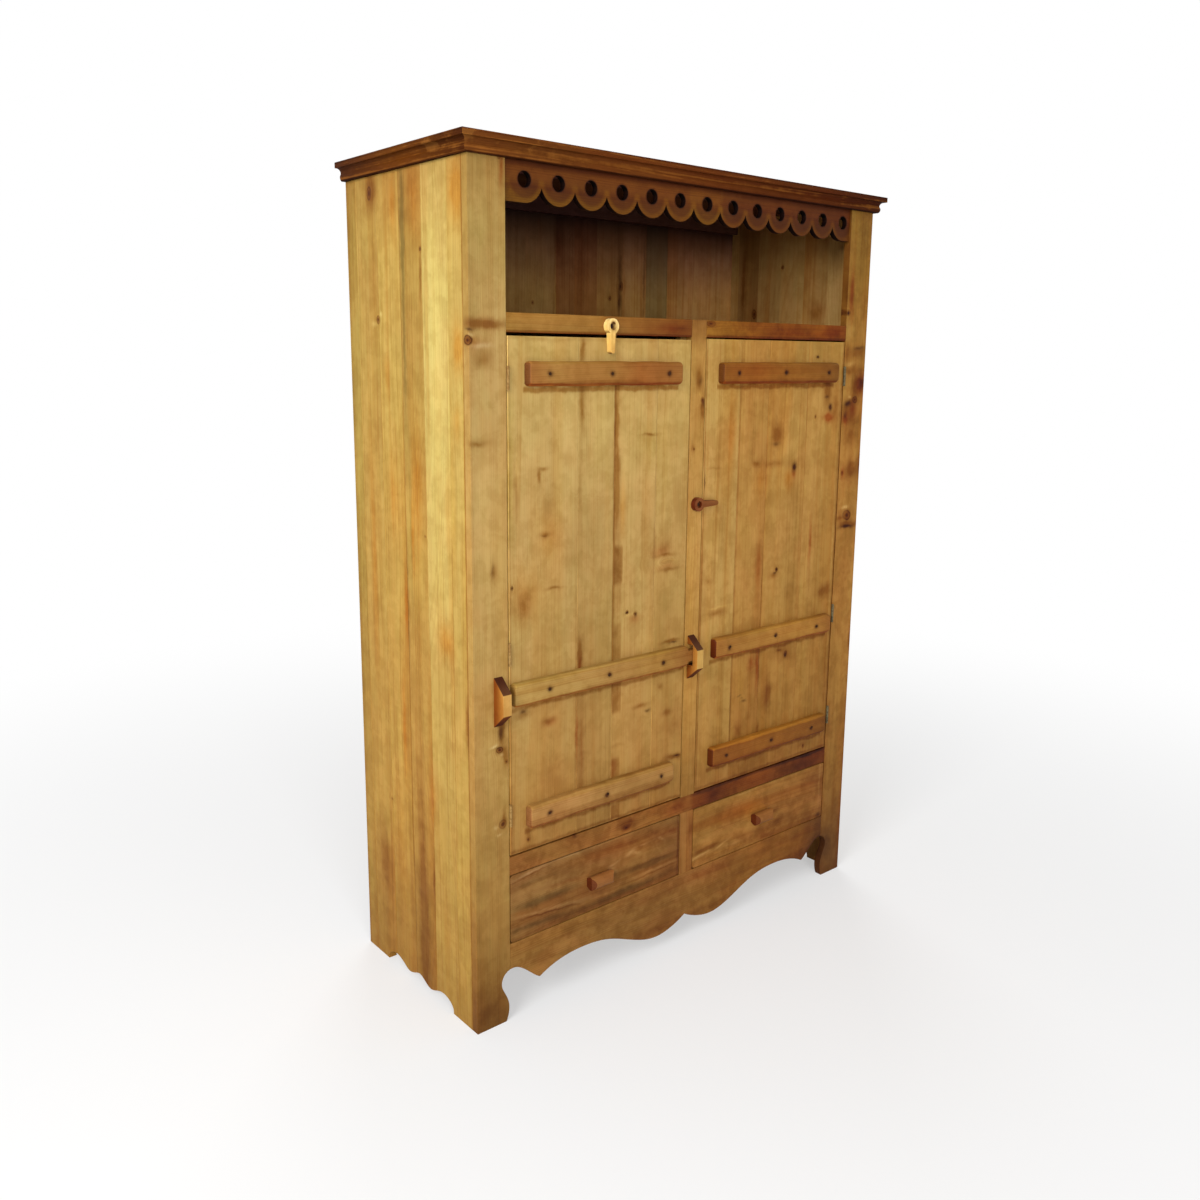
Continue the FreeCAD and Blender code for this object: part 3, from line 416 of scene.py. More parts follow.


# The tones of the upright pieces darken towards the floor: painted shade of light from above, added to the
# shade that the lamps make.
LOOKS = {
    "left_side_boards": dict(
        grain="Z", depth="X", lines=0.5, seed=1.0,
        tones=[(0, 156, 118, 54), (120, 164, 128, 60), (400, 174, 139, 68), (800, 182, 149, 80),
               (1150, 188, 162, 92), (1500, 185, 161, 93), (1750, 181, 156, 88), (1885, 170, 138, 75)],
        boards=seams(
            (-212, -157, -60, 33, 128, 223, 268),
            [(0.95, 0.93, 0.84), (1, 1, 1), (0.8, 0.67, 0.5), (0.91, 0.81, 0.64), (0.86, 0.76, 0.61),
             (0.74, 0.66, 0.48)]),
        fading=(0.3, 1.2, 0.6, 1),
        knots=[(159, 1831, 9, 13, 0.7), (-52, 1701, 3, 4, 1), (133, 1561, 7, 9, 1),
               (-50, 1100, 5, 3, 0.5), (130, 437, 6, 4, 0.5), (-236, 1522, 12, 9, 0.9)],
        stains_and_shades=dict(
            brown=[
                (152, 1835, 24, 40, 0.8), (-52, 1640, 4, 50, 0.7), (-8, 300, 20, 260, 0.55),
                (172, 270, 26, 70, 0.5), (-208, 720, 8, 60, 0.8), (262, 900, 10, 900, 0.3),
                (-14, 60, 24, 110, 0.4), (-58, 300, 5, 50, 0.6), (-16, 180, 40, 200, 0.35),
                (170, 180, 34, 150, 0.4), (80, 160, 40, 140, 0.2), (-10, 1790, 30, 60, 0.2)],
            grey=[
                (19, 1760, 8, 110, 1.2), (22, 1500, 7, 160, 0.6), (12, 1100, 6, 200, 0.4),
                (30, 900, 5, 120, 0.4)],
            orange=[
                (-190, 1800, 26, 60, 0.9), (-190, 1500, 22, 50, 0.8), (-30, 1800, 26, 80, 0.6),
                (60, 1800, 16, 60, 0.6), (-22, 1210, 24, 120, 0.6), (-130, 880, 28, 34, 0.7),
                (80, 1180, 22, 80, 0.5), (183, 1000, 14, 260, 0.5), (5, 1090, 8, 90, 0.6),
                (62, 640, 8, 110, 0.7), (38, 930, 8, 70, 0.9), (-60, 500, 12, 60, 0.5),
                (-185, 1350, 14, 40, 0.5), (100, 1440, 10, 50, 0.4), (95, 300, 30, 200, 0.3)],
            pale=[
                (-110, 1500, 34, 320, 0.4), (-100, 1000, 26, 160, 0.25), (60, 300, 6, 400, 0.3),
                (-10, 1100, 30, 200, 0.6)],
            light=[(150, 1553, 12, 6, 0.4), (120, 1572, 6, 6, 0.3)]),
        strips=[
            ("brown", 30, [
                (-213.5, -209, 0, 1880, 0.7), (-159, -156, 400, 1100, 0.4), (30.5, 35, 300, 1880, 0.35),
                (-62, -59, 100, 900, 0.3)])],
        # painted shade on the inner face
        faces=[("X", 0.5, 0.9, (0.5, 0.4, 0.32))]),
    "left_stile": dict(
        grain="Z", seed=2.0, streaks=0.6, lines=0.6,
        tones=[(0, 112, 78, 32), (100, 122, 86, 37), (300, 144, 111, 56), (700, 163, 129, 72),
               (1150, 165, 135, 81), (1500, 160, 132, 79), (1750, 155, 129, 73), (1885, 142, 112, 60)],
        corner=-0.232,
        knots=[(-640, 1516, 12, 9, 1), (-571, 652, 8, 6, 1), (-554, 622, 6, 6, 0.8),
               (-565, 480, 8, 9, 0.8), (-562, 1868, 4, 6, 0.6)],
        stains_and_shades=dict(
            brown=[
                (-600, 1548, 46, 9, 1), (-604, 1480, 22, 18, 0.7), (-618, 1312, 24, 7, 0.6),
                (-566, 700, 8, 34, 1), (-556, 636, 10, 30, 0.8), (-560, 492, 6, 22, 0.9),
                (-600, 40, 60, 60, 0.5), (-582, 1045, 9, 18, 0.6)],
            dark=[
                (-568, 690, 7, 18, 0.5), (-574, 658, 8, 3, 0.5), (-636, 1538, 12, 3, 0.5),
                (-585, 1047, 3, 16, 0.3)],
            red=[(-556, 1850, 6, 36, 0.6), (-604, 1548, 40, 12, 0.3), (-618, 1510, 26, 16, 0.25)],
            pale=[(-600, 1150, 30, 180, 0.25)],
            light=[
                (-612, 1505, 22, 5, 0.5), (-632, 1527, 8, 4, 0.6), (-584, 664, 9, 3, 0.5, 0.6),
                (-566, 640, 5, 3, 0.5), (-582, 478, 6, 5, 0.5), (-574, 458, 6, 3, 0.4, -0.5)]),
        # the outer side is lighter: edge wear with a painted highlight
        faces=[("X", -0.5, -0.9, (1.12, 1.08, 0.94)), ("X", 0.5, 0.9, (1.6, 1.7, 1.9))]),
    "right_stile": dict(
        grain="Z", seed=3.0, cloudy=1.5,
        tones=[(0, 97, 60, 23), (130, 114, 73, 28), (350, 134, 92, 38), (700, 151, 106, 48),
               (1150, 160, 114, 53), (1500, 151, 109, 47), (1700, 140, 103, 41), (1885, 122, 86, 32)],
        knots=[(591, 1062, 16, 13, 1), (552, 1606, 8, 8, 0.9), (560, 1180, 5, 6, 0.7),
               (600, 1378, 10, 9, 0.9)],
        stains_and_shades=dict(
            brown=[
                (612, 1412, 28, 26, 1), (578, 1352, 30, 26, 1), (600, 1036, 38, 10, 1),
                (634, 1200, 10, 34, 1), (560, 1055, 18, 6, 0.7), (600, 1502, 34, 18, 0.7),
                (590, 1270, 30, 34, 0.35), (590, 1455, 40, 14, 0.6), (600, 1320, 34, 20, 0.5),
                (634, 700, 8, 30, 0.7), (556, 1500, 12, 34, 0.7), (600, 1190, 24, 24, 0.8),
                (590, 1285, 30, 20, 0.4)],
            dark=[
                (624, 1420, 12, 14, 0.6), (568, 1366, 14, 8, 0.8), (590, 1030, 26, 5, 0.8),
                (552, 1604, 5, 5, 0.8), (560, 90, 50, 44, 0.5), (606, 1514, 20, 5, 0.5),
                (560, 1336, 6, 10, 0.5), (634, 1196, 5, 14, 0.5)],
            red=[
                (562, 1650, 10, 60, 0.7), (562, 1325, 14, 14, 0.8), (562, 1180, 8, 16, 0.6),
                (618, 1420, 20, 24, 0.9), (590, 1352, 20, 24, 0.6)],
            pale=[(570, 1840, 16, 40, 0.6), (600, 560, 16, 160, 0.2), (610, 1250, 12, 40, 0.4)],
            light=[
                (563, 1560, 13, 20, 0.7), (572, 1474, 18, 6, 0.4), (584, 1085, 16, 4, 0.8),
                (578, 1384, 7, 4, 0.9), (620, 1560, 8, 26, 0.4), (610, 1440, 5, 10, 0.2)]),
        # painted shade on the inner side face beside the opening
        faces=[("X", -0.5, -0.9, (0.55, 0.42, 0.3))]),
    "centre_post": dict(
        grain="Z", seed=4.0, streaks=0.7, lines=0.6,
        tones=[(396, 142, 102, 48), (700, 170, 127, 63), (1200, 173, 133, 71), (1500, 169, 128, 65),
               (1540, 142, 98, 45), (1572, 130, 86, 38)],
        knots=[(16, 1387, 6, 7, 0.9), (-8, 1272, 4, 4, 0.7)],
        stains_and_shades=dict(
            brown=[
                (4, 1440, 10, 30, 0.8), (16, 1365, 8, 26, 1), (-12, 1275, 7, 14, 0.6),
                (2, 740, 12, 60, 0.5)],
            dark=[(18, 1380, 5, 10, 0.5), (8, 1432, 6, 10, 0.3)],
            pale=[(8, 1402, 8, 7, 0.8), (-6, 900, 8, 60, 0.3)])),
    "upper_rail_left": dict(
        seed=5.0, streaks=0.8,
        tones=[(-547, 140, 103, 46), (-450, 148, 111, 54), (-330, 142, 105, 50), (-200, 128, 84, 34),
               (-60, 118, 70, 22), (-24, 112, 66, 22)],
        faces=[("Z", -0.5, -0.9, (2.2, 0.8, 0.45))],
        stains_and_shades=dict(
            dark=[(1550, -58, 8, 20, 0.2)],
            red=[(1550, -90, 14, 60, 0.5)],
            pale=[(1566, -420, 5, 120, 0.3)]),
        # painted shade along the lower edge, above the doors' top gap
        strips=[("brown", 2, [(1530, 1537, -547, -24, 0.9)])]),
    "upper_rail_right": dict(
        seed=6.0, streaks=0.8, cloudy=2.2,
        tones=[(24, 136, 90, 30), (120, 128, 78, 19), (260, 126, 72, 14), (420, 122, 67, 11),
               (547, 116, 62, 10)],
        faces=[("Z", -0.5, -0.9, (2.0, 0.7, 0.4))],
        knots=[(1564, 36, 6, 14, 0.8)],
        stains_and_shades=dict(
            red=[(1552, 500, 16, 60, 0.5), (1550, 330, 12, 80, 0.3)],
            brown=[(1552, 250, 18, 80, 0.3)]),
        # painted shade along the lower edge, above the doors' top gap
        strips=[("brown", 2, [(1530, 1538, 24, 547, 0.9)])]),
    "middle_rail": dict(
        seed=7.0, streaks=0.8, cloudy=2.2,
        tones=[(-547, 127, 84, 38), (-300, 125, 82, 36), (-60, 132, 84, 34), (5, 124, 78, 32),
               (22, 106, 55, 15), (90, 92, 42, 10), (200, 110, 60, 14), (330, 106, 56, 13),
               (450, 82, 34, 4), (547, 92, 42, 5)],
        knots=[(368, -205, 8, 14, 0.9), (395, -365, 4, 7, 0.7)],
        stains_and_shades=dict(
            brown=[(372, -200, 14, 34, 0.8)],
            red=[(372, -40, 18, 50, 0.4)],
            # the dark marks near z 391 and the dark strip below paint shade under the doors' bottom gap
            dark=[
                (391, -362, 4, 8, 0.4), (392, 470, 3, 60, 0.6), (391, 60, 3, 60, 0.4),
                (374, 95, 12, 24, 0.3), (372, 440, 14, 36, 0.3)]),
        strips=[("dark", 20, [(391, 397, 20, 547, 0.5)])]),
    "drawer_divider": dict(grain="Z", seed=8.0, tones=[(187, 138, 94, 46), (353, 144, 98, 48)],
                           stains_and_shades=dict(brown=[(14, 300, 10, 20, 0.6)], pale=[(-4, 240, 10, 30, 0.4)])),
    "apron": dict(
        seed=9.0, waves=1.6, streaks=0.8, cloudy=1.8,
        tones=[(-547, 127, 89, 40), (-250, 131, 91, 43), (0, 129, 88, 40), (250, 128, 82, 30),
               (450, 120, 74, 23), (547, 88, 50, 16)],
        stains_and_shades=dict(
            dark=[(100, 530, 26, 30, 0.9)],
            brown=[
                (90, 470, 26, 60, 0.6), (150, -200, 20, 160, 0.3), (60, -100, 16, 100, 0.4),
                (60, 100, 14, 100, 0.4)],
            red=[(165, 60, 14, 90, 0.3)],
            olive=[(165, -400, 16, 140, 0.5)]),
        # painted shade on the underside
        faces=[("Z", -0.3, -0.8, (0.4, 0.3, 0.22))]),
    "left_door_boards": dict(
        grain="Z", seed=10.0, streaks=0.6, lines=0.5,
        tones=[(400, 150, 111, 58), (480, 160, 121, 65), (700, 168, 132, 74), (900, 169, 137, 80),
               (1100, 173, 141, 85), (1350, 182, 152, 93), (1527, 182, 151, 90)],
        boards=seams(
            (-544, -360, -256, -129, -26),
            [(0.93, 0.94, 0.93), (0.86, 0.84, 0.79), (0.95, 0.92, 0.87), (0.94, 0.9, 0.81)]),
        faces=[("X", -0.5, -0.9, (1.8, 1.9, 1.9)), ("Z", 0.5, 0.9, (0.85, 0.75, 0.62))],
        knots=[(-212, 904, 4, 5, 1), (-188, 897, 5, 4, 0.8), (-536, 1004, 4, 4, 0.8),
               (-496, 424, 7, 7, 0.8), (-84, 1011, 24, 5, 0.35)],
        stains_and_shades=dict(
            brown=[
                (-465, 1235, 5, 16, 0.8), (-452, 1252, 12, 4, 0.6), (-450, 1108, 18, 8, 0.6),
                (-426, 988, 20, 4, 0.7), (-90, 1026, 32, 5, 0.7), (-96, 1050, 24, 14, 0.4),
                (-80, 990, 30, 5, 0.7), (-70, 812, 26, 5, 1), (-165, 668, 26, 6, 0.7),
                (-80, 633, 18, 8, 0.6), (-440, 690, 22, 8, 0.5), (-50, 513, 26, 7, 1.2),
                (-505, 960, 24, 36, 0.5), (-510, 720, 18, 8, 0.6), (-150, 1312, 26, 3, 0.6),
                (-526, 1210, 6, 70, 0.4), (-105, 702, 10, 8, 0.5), (-235, 585, 20, 5, 0.3),
                (-440, 1180, 16, 60, 0.25), (-130, 1060, 6, 50, 0.3), (-496, 440, 6, 20, 0.7),
                (-50, 600, 26, 40, 0.35), (-420, 560, 40, 60, 0.2), (-248, 1180, 8, 80, 1),
                (-250, 1340, 7, 90, 0.8), (-348, 1500, 6, 26, 0.8), (-350, 1380, 7, 50, 0.7),
                (-352, 830, 8, 46, 0.9), (-354, 1200, 7, 140, 0.3), (-350, 560, 10, 120, 0.25)],
            dark=[
                (-63, 806, 12, 3, 0.7), (-186, 894, 4, 6, 0.6), (-213, 903, 5, 3, 0.8),
                (-536, 1004, 3, 5, 0.5), (-42, 514, 12, 3, 0.7), (-143, 652, 9, 4, 0.5),
                (-508, 727, 8, 4, 0.6), (-452, 1106, 8, 2, 0.3)],
            red=[
                (-188, 886, 18, 10, 0.4), (-110, 1036, 30, 12, 0.35), (-434, 686, 16, 10, 0.4),
                (-360, 640, 5, 60, 0.5), (-90, 998, 34, 8, 0.3), (-352, 800, 6, 26, 0.6),
                (-248, 530, 8, 24, 0.5), (-345, 600, 4, 80, 0.3)],
            orange=[(-230, 1150, 10, 60, 0.5), (-500, 980, 40, 60, 0.4), (-440, 1110, 30, 60, 0.4)],
            olive=[(-540, 1250, 10, 140, 0.7), (-150, 1290, 50, 50, 0.4), (-440, 1480, 60, 30, 0.4)],
            pale=[
                (-300, 1350, 26, 120, 0.3), (-84, 1012, 26, 3, 0.7), (-110, 1250, 30, 100, 0.2),
                (-206, 896, 16, 4, 0.5), (-70, 796, 30, 3, 0.4), (-522, 1250, 5, 40, 0.5),
                (-150, 820, 30, 30, 0.3)]),
        strips=[
            ("brown", 8, [
                (-254, -228, 975, 1060, 0.6), (-254, -228, 668, 742, 0.55), (-254, -230, 505, 556, 0.55),
                (-254, -228, 402, 440, 0.55), (-254, -230, 795, 884, 0.5)]),
            ("brown", 40, [
                (-258, -253, 700, 1440, 0.7), (-254, -232, 905, 1060, 0.3), (-364, -337, 480, 960, 0.15),
                (-544, -539, 400, 1524, 0.3), (-131, -128, 800, 1500, 0.2)]),
            # painted shadows under the battens and the latch bar, and along the door's top and bottom edges
            ("brown", 4, [
                (-544, -26, 1518, 1526, 0.2), (-506, -64, 1412, 1424, 0.7), (-544, -26, 730, 741, 0.6),
                (-506, -64, 441, 452, 0.6), (-544, -26, 400, 408, 0.5)])]),
    "right_door_boards": dict(
        grain="Z", seed=11.0, streaks=0.85, lines=0.6, cloudy=1.2,
        tones=[(400, 142, 98, 43), (480, 151, 108, 49), (700, 165, 123, 60), (1000, 175, 134, 71),
               (1300, 179, 138, 73), (1530, 175, 135, 69)],
        boards=seams(
            (26, 146, 251, 401, 544),
            [(0.98, 1.03, 1.14), (0.85, 0.78, 0.72), (0.87, 0.84, 0.8), (0.88, 0.86, 0.82)]),
        faces=[("Z", 0.5, 0.9, (0.85, 0.75, 0.62))],
        knots=[(437, 1337, 5, 6, 0.8), (435, 1489, 6, 3, 0.8), (306, 942, 5, 6, 1), (356, 708, 6, 7, 0.9),
               (448, 424, 4, 5, 0.7)],
        stains_and_shades=dict(
            brown=[
                (285, 1295, 18, 26, 0.9), (212, 1226, 14, 10, 0.7), (285, 1222, 44, 8, 0.5),
                (480, 1405, 14, 30, 1), (520, 1360, 16, 36, 0.5), (200, 1262, 10, 30, 0.4),
                (330, 722, 20, 10, 0.7), (291, 605, 12, 30, 0.9), (88, 860, 32, 10, 0.6),
                (56, 945, 14, 8, 0.5), (292, 926, 12, 8, 0.7), (505, 860, 34, 18, 0.6),
                (425, 1440, 10, 30, 0.5), (520, 700, 20, 200, 0.3), (370, 700, 40, 14, 0.3),
                (180, 530, 16, 24, 0.5), (255, 520, 6, 20, 0.6), (440, 430, 40, 10, 0.3),
                (360, 1206, 9, 16, 0.7), (360, 860, 20, 60, 0.2), (60, 1222, 30, 3, 0.3)],
            dark=[
                (362, 1210, 7, 10, 1), (497, 1360, 7, 9, 0.9), (306, 942, 4, 4, 0.8),
                (298, 932, 8, 3, 0.5, 0.9), (196, 606, 10, 4, 0.5, 0.8), (180, 622, 8, 3, 0.4, 0.8),
                (356, 703, 5, 6, 0.7), (434, 1490, 6, 3, 0.7), (478, 1384, 8, 4, 0.5),
                (284, 1272, 14, 4, 0.4), (30, 1190, 2, 22, 0.6), (188, 614, 6, 4, 0.4),
                (330, 720, 8, 3, 0.4)],
            red=[
                (491, 1334, 20, 12, 1), (437, 1005, 6, 60, 0.6), (246, 690, 7, 60, 0.6),
                (236, 960, 12, 60, 0.45), (360, 1190, 8, 12, 0.6), (222, 705, 14, 20, 0.5)],
            orange=[(120, 1300, 14, 90, 0.4), (230, 1180, 20, 40, 0.5), (340, 1180, 20, 30, 0.6)],
            olive=[(190, 640, 26, 40, 0.5), (60, 1050, 24, 160, 0.3), (180, 1060, 30, 60, 0.3)],
            pale=[
                (178, 670, 14, 40, 0.4), (189, 614, 10, 8, 0.7), (88, 873, 30, 3, 0.6),
                (410, 1150, 16, 26, 0.3), (410, 860, 10, 40, 0.3), (320, 1270, 14, 30, 0.3)]),
        strips=[
            ("dark", 20, [(145.5, 149, 480, 640, 0.3)]),
            ("brown", 40, [
                (145, 149.5, 480, 1530, 0.45), (26, 31, 400, 1530, 0.5), (538, 544, 400, 1530, 0.5),
                (249, 253, 640, 1000, 0.5), (249.5, 252, 1000, 1530, 0.2), (399.5, 402, 400, 1530, 0.25),
                (152, 158, 1400, 1530, 0.4)]),
            # painted shadows under the battens and along the door's bottom edge
            ("brown", 4, [
                (64, 506, 1412, 1424, 0.7), (64, 522, 730, 741, 0.7), (64, 522, 441, 452, 0.7),
                (26, 544, 400, 408, 0.5)])]),
    "stile_bracket": dict(
        grain="Z", seed=29.0, tones=[(700, 184, 144, 78), (830, 188, 150, 84)], paint=bracket_painted_shade,
        # painted shade on the undersides; the top faces are dark purple
        faces=[("X", -0.4, -0.8, (0.86, 0.66, 0.44)), ("X", 0.4, 0.8, (0.5, 0.34, 0.2)),
               ("Z", 0.25, 0.6, (0.18, 0.12, 0.18)), ("Z", -0.25, -0.6, (0.24, 0.1, 0.06))]),
    "left_turn_button": dict(
        grain="Z", seed=31.0, cloudy=2.0,
        tones=[(1480, 212, 172, 102), (1530, 222, 186, 112), (1570, 238, 214, 150)],
        stains_and_shades=dict(
            # painted shade inside the screw hole
            dark=[(-275.5, 1551, 7, 7, 1.8)],
            brown=[(-272, 1506, 4, 8, 0.3), (-267, 1524, 3, 16, 0.5)]),
        # painted shade on the right faces and the undersides
        faces=[("X", -0.5, -0.9, (1.0, 1.0, 0.92)), ("X", 0.5, 0.9, (0.4, 0.3, 0.2)),
               ("Z", -0.5, -0.9, (0.4, 0.3, 0.2))]),
    "right_turn_button": dict(
        seed=32.0, tones=[(-20, 112, 58, 30), (70, 132, 82, 42)],
        # painted highlight on the head
        stains_and_shades=dict(pale=[(1140, 2.5, 8, 8, 0.9)]),
        # painted shade on the left faces
        faces=[("X", -0.4, -0.8, (0.6, 0.36, 0.26)), ("Z", 0.4, 0.8, (0.7, 0.6, 0.5))]),
    "left_drawer_front": dict(
        seed=24.0, waves=2.4, lines=0.8, cloudy=1.8,
        tones=[(-545, 124, 88, 46), (-300, 126, 86, 43), (-150, 131, 90, 43), (-25, 122, 83, 41)],
        stains_and_shades=dict(
            grey=[
                (266, -455, 9, 80, 0.9), (250, -125, 9, 80, 1), (212, -470, 7, 90, 0.7, -0.06),
                (204, -200, 9, 160, 0.8, 0.02), (258, -250, 8, 20, 0.5), (318, -480, 5, 60, 0.3)],
            brown=[
                (335, -120, 10, 60, 0.4), (300, -90, 8, 50, 0.4), (322, -300, 26, 260, 0.25),
                (193, -280, 4, 280, 0.35), (270, -29, 80, 4, 1), (224, -112, 2, 90, 0.6, 0.022),
                (229, -437, 2.4, 100, 0.6, -0.107), (338, -492, 2, 50, 0.6, 0.133)],
            orange=[(328, -250, 14, 140, 0.4), (300, -160, 20, 90, 0.3)],
            red=[(316, -60, 8, 50, 0.4), (286, -380, 5, 60, 0.3, -0.05)],
            pale=[(305, -480, 12, 60, 0.6, 0.05), (216, -260, 5, 120, 0.6, 0.03)],
            light=[
                (230.5, -112, 3.8, 90, 0.55, 0.022), (236, -437, 4.4, 100, 0.5, -0.107),
                (343, -492, 3.6, 50, 0.5, 0.133), (350, -370, 3.0, 70, 0.45, -0.014),
                (300, -190, 5, 12, 0.6, 0.3), (306, -150, 3, 10, 0.6), (292, -170, 4, 12, 0.5, -0.4),
                (306, -86, 4, 12, 0.6, -0.5), (286, -240, 3, 20, 0.4, 0.2), (273, -268, 3, 26, 0.4, 0.1)])),
    "right_drawer_front": dict(
        seed=25.0, waves=1.8, lines=0.7, cloudy=1.8,
        tones=[(25, 143, 100, 46), (250, 149, 104, 48), (450, 140, 95, 42), (545, 130, 84, 37)],
        stains_and_shades=dict(
            brown=[
                (230, 80, 7, 60, 0.7, 0.06), (232, 380, 10, 80, 0.4, 0.08), (195, 440, 6, 110, 0.9),
                (320, 500, 20, 30, 0.5), (262, 330, 5, 16, 0.6), (206, 330, 22, 260, 0.6)],
            dark=[(198, 532, 8, 12, 0.5)],
            light=[
                (216, 50, 4, 34, 0.7, 0.12), (224, 130, 3, 26, 0.6, 0.3), (212, 170, 5, 30, 0.4),
                (345, 205, 2.5, 40, 0.4), (272, 300, 3, 14, 0.4), (262, 318, 4, 10, 0.4),
                (300, 530, 60, 4, 0.4)],
            pale=[(204, 160, 3, 80, 0.5, -0.05)],
            orange=[(300, 200, 20, 120, 0.4)])),
}

BATTEN_TONES = {
    "left_top_batten": [
        (-503, 144, 94, 46), (-440, 148, 106, 52), (-280, 141, 98, 45), (-200, 138, 84, 35),
        (-67, 137, 91, 42)],
    "right_top_batten": [
        (67, 127, 78, 25), (180, 139, 82, 25), (300, 134, 84, 27), (460, 122, 76, 24), (503, 114, 72, 25)],
    "latch_bar": [(-544, 166, 132, 73), (-250, 160, 124, 68), (-120, 160, 119, 59), (0, 124, 78, 35)],
    "right_middle_batten": [
        (67, 148, 100, 44), (250, 162, 116, 53), (440, 158, 110, 47), (520, 131, 84, 34)],
    "left_bottom_batten": [(-503, 161, 118, 67), (-300, 156, 116, 64), (-67, 150, 110, 58)],
    "right_bottom_batten": [(67, 122, 72, 22), (250, 132, 82, 26), (440, 124, 76, 24), (520, 108, 66, 20)]}
# left ends: the end grain's own colour, and painted shade in the dark gap at the right middle batten's end
END_GRAIN_AND_SHADE = {"right_middle_batten": (0.32, 0.13, 0.07), "left_bottom_batten": (0.66, 0.54, 0.56),
             "right_bottom_batten": (0.42, 0.26, 0.22), "latch_bar": (0.8, 0.72, 0.6)}
for number, (name, tones) in enumerate(BATTEN_TONES.items()):
    height = 1450 if "top" in name else 482 if "bottom" in name else 770
    middle = 289 if name.startswith("right") else -281
    nails = [(height, middle + step, 6, 7, 0.9) for step in (-170, 0, 170)]
    # painted highlight on the upward faces; painted shade, with real brown staining, on the downward faces
    # and along the lower edge of the front
    upper_face = (1.5, 1.7, 1.6) if name == "right_bottom_batten" else (1.0, 1.04, 0.9)
    LOOKS[name] = dict(
        tones=tones, seed=12.0 + number, streaks=0.9,
        stains_and_shades=dict(dark=nails, brown=[(height - 20, middle, 5, 260, 0.4)]),
        strips=[("brown", 12, [(height - 30, height - 20, middle - 300, middle + 300, 0.5)])],
        faces=[("Z", 0.2, 0.7, upper_face), ("Z", -0.2, -0.7, (1.1, 0.74, 0.44)),
               ("X", -0.4, -0.8, END_GRAIN_AND_SHADE.get(name, (0.5, 0.44, 0.48))),
               ("X", 0.4, 0.8, (0.5, 0.36, 0.24))])
# the lower half of the left bottom batten darker: painted shade with staining
LOOKS["left_bottom_batten"]["strips"].append(("brown", 12, [(455, 477, -510, -60, 0.3)]))
LOOKS["post_bracket"] = dict(LOOKS["stile_bracket"], seed=30.0)

for number, side in enumerate(("left", "right")):
    # painted shade on the faces that look down and to the left
    LOOKS["valance_" + side] = dict(
        tones=[(-547, 96, 53, 12), (0, 97, 51, 11), (547, 86, 40, 8)], seed=20.0 + number,
        paint=valance_marks_and_shade, faces=[(axis, -0.15, -0.5, (0.2, 0.14, 0.12)) for axis in "ZX"])
    LOOKS["crown_" + side] = dict(
        grain="Y", depth="X", tones=[(-260, 62, 27, 4), (0, 92, 48, 7), (268, 68, 35, 16)],
        seed=22.0 + number, paint=crown_paint, sheen=0.03)
    LOOKS[side + "_drawer_pull"] = dict(
        tones=[(-545, 132, 86, 46), (545, 132, 86, 42)], seed=26.0 + number,
        # painted highlight on the top faces and painted shade on the undersides
        faces=[("X", -0.4, -0.8, (0.38, 0.18, 0.11)), ("Z", 0.5, 0.9, (1.1, 1.12, 1.1)),
               ("Z", -0.5, -0.9, (0.4, 0.3, 0.2)), ("X", 0.4, 0.8, (0.4, 0.3, 0.2))])
LOOKS["crown_front"] = dict(
    seed=28.0, paint=crown_paint, sheen=0.05, streaks=1.6,
    tones=[(-661, 92, 50, 16), (-500, 90, 48, 14), (0, 90, 45, 12), (400, 76, 34, 6), (661, 60, 25, 4)])
LOOKS["back_boards"] = dict(
    grain="Z", seed=33.0, lines=0.6,
    tones=[(0, 112, 84, 48), (1500, 160, 124, 74), (1640, 165, 127, 76), (1885, 162, 125, 76)],
    paint=back_painted_shade, fading=(1.25, 1.5, 0.5, 1),
    boards=seams(
        (-616, -522, -428, -334, -240, -146, -52, 13, 90, 180, 266, 347, 453, 616),
        [(0.7, 0.66, 0.6), (0.8, 0.75, 0.7), (0.7, 0.66, 0.6), (0.8, 0.75, 0.7), (0.62, 0.6, 0.5),
         (0.62, 0.6, 0.5), (0.55, 0.42, 0.34), (0.62, 0.45, 0.34), (0.7, 0.62, 0.46), (0.9, 0.82, 0.7),
         (0.56, 0.62, 0.58), (0.98, 0.87, 0.8), (1.05, 0.96, 0.88)]),
    knots=[(-123, 1623, 5, 6, 0.8), (138, 1643, 5, 6, 0.8), (176, 1675, 7, 12, 0.9)],
    stains_and_shades=dict(
        dark=[(172, 1680, 6, 90, 0.5), (176, 1630, 8, 20, 0.3), (262, 1700, 4, 120, 0.4)],
        brown=[(30, 1700, 20, 160, 0.4), (-40, 1780, 20, 80, 0.7)],
        pale=[(-50, 1640, 2, 60, 0.5), (225, 1650, 12, 80, 0.3)]))
